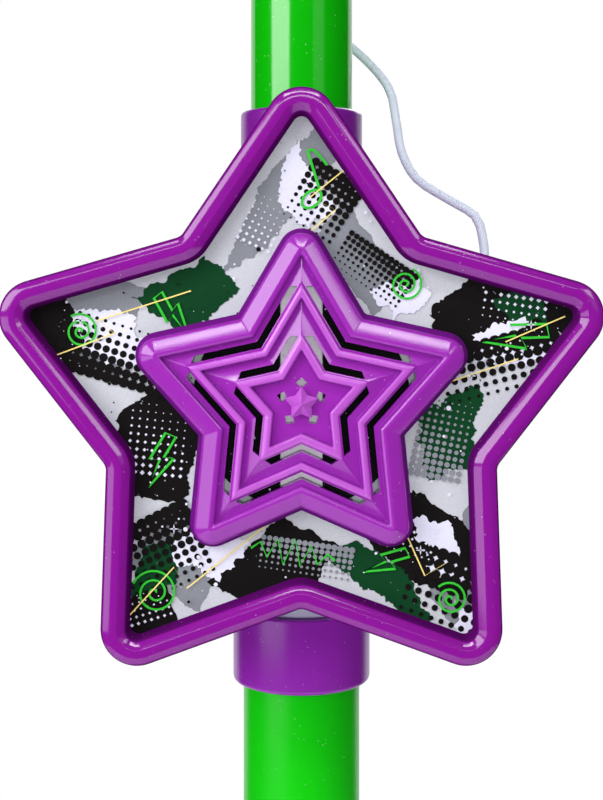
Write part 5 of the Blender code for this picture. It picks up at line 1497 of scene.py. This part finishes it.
def screw(name: str, body: str, place: Place, radius: float = 0.0028, height: float = 0.0013) -> Piece:
    """Pan-head screw: a low dome cos(a) over its radius, with a crossed recess.

    Args:
        name: Object name.
        body: The body that it rides on.
        place: Frame on the seat, third axis out of the seat.
        radius: Head radius.
        height: Head height.

    Returns:
        The object.
    """
    head = polar(1.0, np.linspace(0.0, np.pi / 2, 10)) * (radius, height)
    head[-1, 0] = 0.0
    profile = np.concatenate([[(0.0, -0.2 * height), (radius, -0.2 * height)], head])
    made = Surface().grid(spun(profile, place, 32)).made(name, FINISHES["steel"])
    arm, half = 0.58 * radius, 0.14 * radius
    corner = np.array([(half, half), (half, arm), (-half, arm)])
    cross = np.concatenate([rotated(corner, -number * math.pi / 2) for number in range(4)])
    carve(made, Surface().prism(cross, (0.45 * height, 2 * height), place))
    return put(made, body)


@dataclass
class Base:
    """Round weighted base on rubber feet."""

    radius: float = 0.118
    wall: float = 0.003
    rim_bottom: float = 0.002
    rim_top: float = 0.014
    rim_round: float = 0.006
    dome_top: float = 0.030
    boss_radius: float = 0.0225
    boss_top: float = 0.066
    boss_round: float = 0.003
    boss_foot: float = 0.0085
    boss_gap: float = 0.0005
    socket: float = 0.0157
    socket_floor: float = 0.0125
    ledge: float = 0.0122
    foot_radius: float = 0.009
    foot_ring: float = 0.095
    foot_top: float = 0.0052
    foot_ease: float = 0.0006
    screws: int = 3
    screw_ring: float = 0.060
    screw_seat: float = 0.0055

    def dome(self, radius: Array) -> Array:
        """Height of the skin: share s from rim to boss, 0.35·s + 0.65·s to the fourth."""
        share = (self.radius - self.rim_round - radius) / (self.radius - self.rim_round - self.boss_radius)
        return self.rim_top + (self.dome_top - self.rim_top) * (0.35 * share + 0.65 * share**4)

    def skin(self) -> Piece:
        """Domed shell with a rounded rim and a boss that holds the pole.

        Returns:
            The piece.
        """
        rim, boss = (arc(ease, math.pi / 2, 0.0, 10) + (radius - ease, top - ease)
                     for ease, radius, top in ((self.rim_round, self.radius, self.rim_top),
                                               (self.boss_round, self.boss_radius, self.boss_top)))
        radii = np.linspace(self.radius - self.rim_round, self.boss_radius + self.boss_gap, 40)
        skin = np.stack([radii, self.dome(radii)], axis=-1)[1:]
        under = skin[::4][::-1] - (0.0, self.wall)
        boss_bore = self.boss_radius - self.wall
        inside = [(self.socket, self.boss_top), (self.socket, self.socket_floor),
                  (self.ledge, self.socket_floor), (self.ledge, self.boss_foot),
                  (boss_bore, self.boss_foot), (boss_bore, float(under[0, 1]))]
        wall = self.radius - self.wall
        edge = [(wall, self.rim_top - 1.5 * self.wall), (wall, self.rim_bottom),
                (self.radius, self.rim_bottom)]
        grid = spun(np.concatenate([rim, skin, boss, inside, under, edge]), steps=128)
        made = Surface().grid(grid, True).made("base_skin", FINISHES["purple_plastic"])
        return put(made, "stand", "base_shell")

    def build(self) -> list[Piece]:
        """Builds the base's skin, feet and screws on the stand.

        Returns:
            The pieces.
        """
        made = [self.skin()]
        pad = [(0.0, 0.0, 0.0), (0.85 * self.foot_radius, 0.0, self.foot_ease),
               (self.foot_radius, 0.4 * self.foot_top, self.foot_ease),
               (self.foot_radius, self.foot_top, 0.0004), (0.0, self.foot_top, 0.0)]
        for foot in range(ARMS):
            place = UPRIGHT.moved(*along_arm(foot + 0.5, [(0.0, self.foot_ring)])[0], 0.0)
            piece = turned(f"foot_pad_{foot + 1}", pad, "black_rubber", place, 48)
            made.append(put(piece, "stand", f"base_foot_{foot + 1}"))
        for number in range(self.screws):
            x, y = rotated(np.array((0.0, self.screw_ring)), 2 * math.pi * number / self.screws)
            place = Place((float(x), float(y), self.screw_seat), ((1, 0, 0), (0, -1, 0), (0, 0, -1)))
            made.append(screw(f"base_screw_{number + 1}", "stand", place))
        return made


@dataclass
class Clamp:
    """Screws of the clamp behind the pole."""

    across: float = 0.0182
    ear_back: float = 0.00415
    levels: Spot = (-0.026, 0.022)
    screw_radius: float = 0.0022
    screw_height: float = 0.0011

    def build(self) -> list[Piece]:
        """Builds four screws on the clamp's ears, on the mast.

        Returns:
            The pieces.
        """
        made = []
        for side in (-1, 1):
            for level in self.levels:
                spot = (side * self.across, self.ear_back, STAR_Z + level)
                place = Place(spot, ((-1, 0, 0), (0, 0, 1), (0, 1, 0)))
                name = f"clamp_screw_{len(made) + 1}"
                made.append(screw(name, "mast", place, self.screw_radius, self.screw_height))
        return made


@dataclass
class Microphone:
    """Microphone in its clip: handle, door, slider's slot, neck, wire ball and strain relief.

    The ball's foot is its height and its reach outwards and inwards. A rib's corners are shares of its radius
    and of its length, each with its easing.
    """

    tail: float = -0.066
    head: float = 0.062
    tail_radius: float = 0.0118
    head_radius: float = 0.0148
    wall: float = 0.0024
    floor: float = 0.004
    tail_round: float = 0.005
    bore: float = 0.0030
    door_half: float = math.radians(33)
    door: Spot = (-0.0505, 0.0435)
    grip: Spot = (0.005, 0.016)
    grip_pitch: float = 0.0018
    grip_depth: float = 0.00035
    slot: Triple = (0.0474, 0.0122, 0.0034)
    slot_ease: float = 0.0008
    neck_length: float = 0.0102
    neck_radius: float = 0.0190
    neck_bore: float = 0.0105
    neck_spigot: float = 0.003
    ball_radius: float = 0.0225
    ball_neck: float = 0.0170
    ball_foot: Triple = (0.0012, 0.0006, 0.0012)
    cap_angle: float = math.radians(12)
    cap_edge: float = 0.001
    cap_hollow: float = 0.95
    band_half: float = 0.0028
    band_wall: float = 0.0015
    band_ease: float = 0.0008
    boot_length: float = 0.016
    boot_radius: float = 0.0055
    boot_end_radius: float = 0.0021
    boot_spigot: Spot = (0.0027, 0.0036)
    boot_ribs: int = 5
    rib: tuple[Triple, ...] = (
        (1.0, 0.0, 0.0004), (1.0, 0.6, 0.0004), (0.84, 0.7, 0.0002), (0.84, 0.97, 0.0002))
    wires: int = 44
    wire_radius: float = 0.00034
    wire_twist: float = 0.75
    wire_depth: Spot = (1.4, 0.4)
    wire_end: float = math.radians(9)
    wire_points: int = 46
    wire_sides: int = 6
    wire_sharp: float = 50.0
    clip_wall: float = 0.0026
    clip_length: float = 0.032
    clip_opening: float = math.radians(55)
    lug_radius: float = 0.008
    lug_half_base: float = 0.010
    lug_half_width: float = 0.0057

    @property
    def neck_end(self) -> float:
        """Where the neck ring ends along the microphone."""
        return self.head + CLEARANCE + self.neck_length

    def radius_at(self, along: Array | float) -> Array | float:
        """Outer radius of the handle: a straight taper from tail to head."""
        growth = (self.head_radius - self.tail_radius) * (along - self.tail)
        return self.tail_radius + growth / (self.head - self.tail)

    def sector(self, along: Array, outer: Array, inner: Array, start: float, end: float, steps: int) -> Array:
        """Loops of a piece of a ring at places along the microphone: an outer arc and an inner arc back.

        Args:
            along: Places along the axis.
            outer: Outer radius at each.
            inner: Inner radius at each.
            start: First angle from the upper side.
            end: Last angle.
            steps: Steps of each arc.

        Returns:
            Loops of points.
        """
        made = []
        for place, far, near in zip(along, outer, inner):
            flat = np.concatenate([arc(far, start, end, steps), arc(near, end, start, steps)])
            made.append(lifted(flat, [place]))
        return MIC.at(np.concatenate(made))

    def handle(self) -> Piece:
        """Tapered hollow handle with the door's window and the slider's slot cut out.

        Returns:
            The piece.
        """
        floor, turn = self.tail + self.floor, self.tail + self.tail_round
        end = arc(self.tail_round, math.pi, math.pi / 2, 10) + (self.tail_radius - self.tail_round, turn)
        along = np.linspace(turn, self.head, 24)[1:]
        side = np.stack([self.radius_at(along), along], axis=-1)
        inside = [(self.head_radius - self.wall, self.head), (self.radius_at(floor) - self.wall, floor),
                  (self.bore, floor)]
        grid = spun(np.concatenate([[(self.bore, self.tail)], end, side, inside]), MIC)
        made = Surface().grid(grid, True).made("handle_skin", FINISHES["purple_plastic"])
        ends = np.array(self.door)
        near = self.radius_at(ends) - 2 * self.wall
        cuts = Surface().stack(self.sector(ends, np.full(2, 2 * self.head_radius), near,
                                           -self.door_half, self.door_half, 24))
        start, length, half = self.slot
        flat = slab(half, start, start + length, self.slot_ease)
        cuts.prism(flat, (0.5 * self.head_radius, 2 * self.head_radius), MIC.swapped(0, 2, 1))
        carve(made, cuts)
        return put(made, "clip", "mic_handle")

    def door_panel(self) -> Piece:
        """Battery door: a strip of the handle's wall with a run of low grip ridges near its tail.

        A ridge's share of its depth is half of one less the cosine of its place along the pitch.

        Returns:
            The piece.
        """
        along = np.linspace(self.door[0] + CLEARANCE, self.door[1] - CLEARANCE, 260)
        radius = self.radius_at(along)
        near, far = (self.door[0] + place for place in self.grip)
        wave = 0.5 - 0.5 * np.cos(2 * np.pi * along / self.grip_pitch)
        ridge = np.where((along > near) & (along < far), wave, 0.0)
        lean = self.door_half - CLEARANCE / (self.tail_radius - self.wall)
        loops = self.sector(along, radius - self.grip_depth * ridge, radius - self.wall, -lean, lean, 24)
        made = Surface().stack(loops).made("door_panel", FINISHES["purple_plastic"])
        return put(made, "door", "mic_door")

    def neck(self) -> Piece:
        """Flared ring between the handle and the ball, with a spigot in the handle.

        Returns:
            The piece.
        """
        start, end = self.head + CLEARANCE, self.neck_end
        spigot, foot = self.head_radius - self.wall - CLEARANCE, self.head - self.neck_spigot
        made = turned("neck_ring", [
            (self.neck_bore, foot, 0.0), (spigot, foot, 0.0), (spigot, start, 0.0),
            (self.head_radius, start, EASE), (self.head_radius, start + 0.15 * self.neck_length, 0.0015),
            (self.neck_radius, start + 0.55 * self.neck_length, 0.002), (self.neck_radius, end, 0.001),
            (self.neck_bore, end, 0.0)], "green_plastic", MIC)
        return put(made, "clip", "mic_ring")

    def ball(self, centre: float) -> Piece:
        """Ball of two crossed sets of spiral wires, with a cap at its pole and a ring at its foot.

        A wire turns about the axis by its twist times its angle from the foot.

        Args:
            centre: Middle of the ball along the axis.

        Returns:
            The piece.
        """
        first = math.pi - math.asin(self.ball_neck / self.ball_radius)
        slant = np.linspace(first, self.wire_end, self.wire_points)
        depth, gap = self.wire_depth
        shape = Surface()
        for way in (-1, 1):
            size = self.ball_radius - self.wire_radius * (depth + gap * way)
            for number in range(self.wires):
                turn = 2 * np.pi * number / self.wires + way * self.wire_twist * (first - slant)
                line = np.column_stack([polar(size * np.sin(slant), turn), centre + size * np.cos(slant)])
                shape.stack(tube(MIC.at(line), self.wire_radius, self.wire_sides))
        size = self.ball_radius
        cap = arc(size, 0.0, self.cap_angle, 5) + (0.0, centre)
        under = [cap[-1] - (0.0, self.cap_edge), (0.0, centre + self.cap_hollow * size)]
        shape.grid(spun(np.concatenate([cap, under]), MIC, 48))
        high, wide, deep = self.ball_foot
        near, foot = self.ball_neck - deep, self.neck_end + CLEARANCE
        ring = np.array([(self.ball_neck, foot), (self.ball_neck + wide, foot + high),
                         (near, foot + high), (near, foot)])
        shape.grid(spun(ring, MIC, 64), True)
        made = shape.made("ball_wires", FINISHES["ball_mesh"], sharp=self.wire_sharp)
        return put(made, "clip", "mic_ball")

    def boot(self) -> Piece:
        """Ribbed strain relief that tapers towards the lead.

        The radius of the ribs falls in equal steps.

        Returns:
            The piece.
        """
        (spigot, depth), start = self.boot_spigot, self.tail - CLEARANCE
        corners = [(0.0, self.tail + depth, 0.0), (spigot, self.tail + depth, 0.0), (spigot, start, 0.0)]
        pitch = self.boot_length / self.boot_ribs
        for number in range(self.boot_ribs):
            near = start - pitch * number
            wide = self.boot_radius + (self.boot_end_radius - self.boot_radius) * number / self.boot_ribs
            corners += [(share * wide, near - along * pitch, ease) for share, along, ease in self.rib]
        tip = start - self.boot_length
        corners += [(self.boot_end_radius, tip, EASE), (0.0, tip, 0.0)]
        made = turned("strain_relief", corners, "white_plastic", MIC, 48)
        return put(made, "clip", "mic_boot")

    def cradle(self) -> Piece:
        """Springy open clip and the lug that turns on the pin.

        The clip follows the handle's radius plus a clearance, and the lug is a half circle with straight sides.

        Returns:
            The piece.
        """
        along = np.linspace(-self.clip_length / 2, self.clip_length / 2, 9)
        inner = self.radius_at(along) + CLEARANCE
        loops = self.sector(along, inner + self.clip_wall, inner, self.clip_opening,
                            2 * math.pi - self.clip_opening, 72)
        made = Surface().stack(loops).made("clip_cradle", FINISHES["purple_plastic"])
        seat = MIC_LIFT - self.radius_at(0.0) - CLEARANCE - self.clip_wall / 2
        flat = np.concatenate([arc(self.lug_radius, math.pi / 2, 3 * math.pi / 2, 28),
                               [(-self.lug_half_base, seat), (self.lug_half_base, seat)]]) - (0.0, MIC_LIFT)
        half = self.lug_half_width
        carve(made, Surface().prism(flat, (-half, half), MIC.swapped(2, 1, 0)), "UNION")
        carve(made, Surface().rod(PIN_HOLE, -2 * half, 2 * half, PIVOT, 40))
        return put(made, "clip", "mic_clip")

    def build(self) -> list[Piece]:
        """Builds the microphone's pieces on the clip and the door.

        Returns:
            The pieces.
        """
        centre = self.neck_end + CLEARANCE + math.sqrt(self.ball_radius**2 - self.ball_neck**2)
        ring = self.ball_radius + CLEARANCE
        made = [self.door_panel(), self.handle(), self.cradle(), self.neck()]
        ends = (centre - self.band_half, centre + self.band_half)
        band = pipe("ball_band", (ring, ring + self.band_wall), ends, "green_plastic", MIC, self.band_ease)
        return [*made, put(band, "clip", "mic_band"), self.ball(centre), self.boot()]


@dataclass
class PoleTop:
    """Knob at the top of the pole.

    The corners of its section are shares of its radius and of its length, each with its easing.
    """

    start: float = 0.0103
    length: float = 0.0097
    radius: float = 0.0085
    lobe: float = 0.0012
    lobes: int = 6
    hole_depth: float = 0.0080
    section: tuple[Triple, ...] = (
        (0.80, 0.0, 0.0), (1.0, 0.15, 0.12), (1.0, 0.82, 0.12), (0.78, 1.0, 0.06), (0.0, 0.94, 0.0))

    def build(self) -> list[Piece]:
        """Builds the lobed knob on its own body: radius R + L·cos(6a), drawn in at both ends.

        Returns:
            The pieces.
        """
        section = rounded(self.section, steps=8)
        angle = circle(120)
        radius = section[:, :1] * (self.radius + self.lobe * np.cos(self.lobes * angle))
        along = self.start + self.length * section[:, 1:]
        coordinates = (radius * np.sin(angle), radius * np.cos(angle), along + 0 * angle)
        points = PIVOT.at(np.stack(coordinates, axis=-1))
        made = Surface().grid(points).polygons(points[:1]).made("knob_grip", FINISHES["green_plastic"])
        hole = Surface().rod(PIN_HOLE, self.start - self.hole_depth, self.start + self.hole_depth, PIVOT, 40)
        carve(made, hole)
        return [put(made, "knob", "tilt_knob")]


@dataclass(frozen=True)
class Lamp:
    """Rectangular soft lamp one metre from the star, placed by degrees right of its front and above it."""

    name: str
    azimuth: float
    elevation: float
    size: Spot
    radiance: float
    mirrored: bool = True
    scattered: bool = True

    def build(self) -> None:
        """Adds the lamp, whose power is its radiance times pi times its area."""
        turn, lift = math.radians(self.azimuth), math.radians(self.elevation)
        way = Vector((math.sin(turn) * math.cos(lift), -math.cos(turn) * math.cos(lift), math.sin(lift)))
        data = bpy.data.lights.new(self.name, "AREA")
        data.shape = "RECTANGLE"
        data.size, data.size_y = self.size
        data.energy = self.radiance * math.pi * self.size[0] * self.size[1]
        made = bpy.data.objects.new(self.name, data)
        made.location = Vector(STAR.origin) + way
        made.rotation_euler = (-way).to_track_quat("-Z", "Y").to_euler()
        made.visible_glossy = self.mirrored
        made.visible_diffuse = self.scattered
        bpy.context.scene.collection.objects.link(made)


@dataclass
class Studio:
    """Floor, soft lamps, white surround and the camera of the photograph."""

    camera_distance: float = 0.360
    camera_rise: float = 0.0276
    lens: float = 60.7
    sensor: float = 36.0
    shift: float = -0.145
    floor_radius: float = 0.55
    floor_drop: float = 0.0002
    glow: float = 0.16
    room: float = 0.02
    backdrop: Spot = (0.63, 0.68)
    lamps: tuple[Lamp, ...] = (
        Lamp("key", -50.0, 20.0, (0.80, 0.50), 5.4),
        Lamp("key_skirt", -50.0, -9.0, (0.80, 0.30), 2.0),
        Lamp("side", 44.0, 27.0, (0.26, 0.24), 4.6),
        Lamp("top", 0.0, 52.0, (0.80, 0.10), 12.0),
        Lamp("strip", 0.0, 26.0, (0.80, 0.05), 9.0),
        Lamp("fill", 0.0, 3.0, (0.08, 0.08), 180.0, mirrored=False),
        Lamp("band", 40.0, 13.0, (0.46, 0.30), 0.45, scattered=False),
        Lamp("back", 163.0, 40.0, (0.80, 0.80), 5.0),
    )

    def floor(self) -> None:
        """Plain pale round floor under the base."""
        loop = lifted(polar(self.floor_radius, circle(96)), [-self.floor_drop])
        Surface().polygons(loop).made("floor", FINISHES["floor_pale"], solid=False)

    def surround(self) -> None:
        """White backdrop behind the star, a darker room behind the camera, and a soft light."""
        world = bpy.data.worlds.new("studio")
        world.use_nodes = True
        graph = Graph(world.node_tree)
        shader = world.node_tree.nodes["Background"]
        path = graph.add("ShaderNodeLightPath").outputs
        way = graph.add("ShaderNodeTexCoord").outputs["Generated"]
        depth = graph.add("ShaderNodeSeparateXYZ", {0: way}).outputs[1]
        backdrop = graph.spread(depth, *self.backdrop, self.room, 1.0)
        seen = graph.math("MAXIMUM", path["Is Camera Ray"], path["Is Transmission Ray"])
        mirrored = graph.math("MULTIPLY", path["Is Glossy Ray"], backdrop)
        scattered = graph.math("MULTIPLY", graph.math("SUBTRACT", 1.0, path["Is Glossy Ray"]), self.glow)
        strength = graph.math("MAXIMUM", graph.math("MAXIMUM", seen, mirrored), scattered)
        world.node_tree.links.new(strength, shader.inputs["Strength"])
        shader.inputs["Color"].default_value = (1.0, 1.0, 1.0, 1.0)
        bpy.context.scene.world = world

    def camera(self) -> None:
        """Level camera square on to the star, shifted to the photograph's framing."""
        data = bpy.data.cameras.new("camera")
        data.lens, data.sensor_width, data.shift_y = self.lens, self.sensor, self.shift
        data.clip_start = 0.01
        made = bpy.data.objects.new("camera", data)
        made.location = (0.0, -self.camera_distance, STAR_Z + self.camera_rise)
        made.rotation_euler = (math.pi / 2, 0.0, 0.0)
        bpy.context.scene.collection.objects.link(made)
        bpy.context.scene.camera = made

    def build(self) -> None:
        """Sets up the studio."""
        bpy.context.scene.view_settings.view_transform = "Standard"
        self.camera()
        self.floor()
        self.surround()
        for lamp in self.lamps:
            lamp.build()


def dress(frame: dict) -> None:
    """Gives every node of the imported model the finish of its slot.

    Args:
        frame: The loaded frame.
    """
    slots = {row["node"]: row["material_slot"] for row in frame["record"]["subparts"]}
    for name, obj in frame["nodes"].items():
        material = FINISHES[slots[name]].material()
        if not obj.material_slots:
            obj.data.materials.append(material)
        for slot in obj.material_slots:
            slot.material = material


def main() -> None:
    """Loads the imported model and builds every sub-assembly."""
    logging.basicConfig(level=logging.INFO, format="%(name)s: %(message)s")
    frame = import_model()
    Studio().build()
    dress(frame)
    made = Lead().build(frame["nodes"]["lead_plug"])
    assemblies = (StarFrame(), StarGrille(), CardPrint(), Pole(), Base(), Clamp(), Microphone(), PoleTop())
    for assembly in assemblies:
        made += assembly.build()
    for obj in made:
        LOG.info("made %s, %d faces", obj.name, len(obj.data.polygons))


if __name__ == "__main__":
    main()
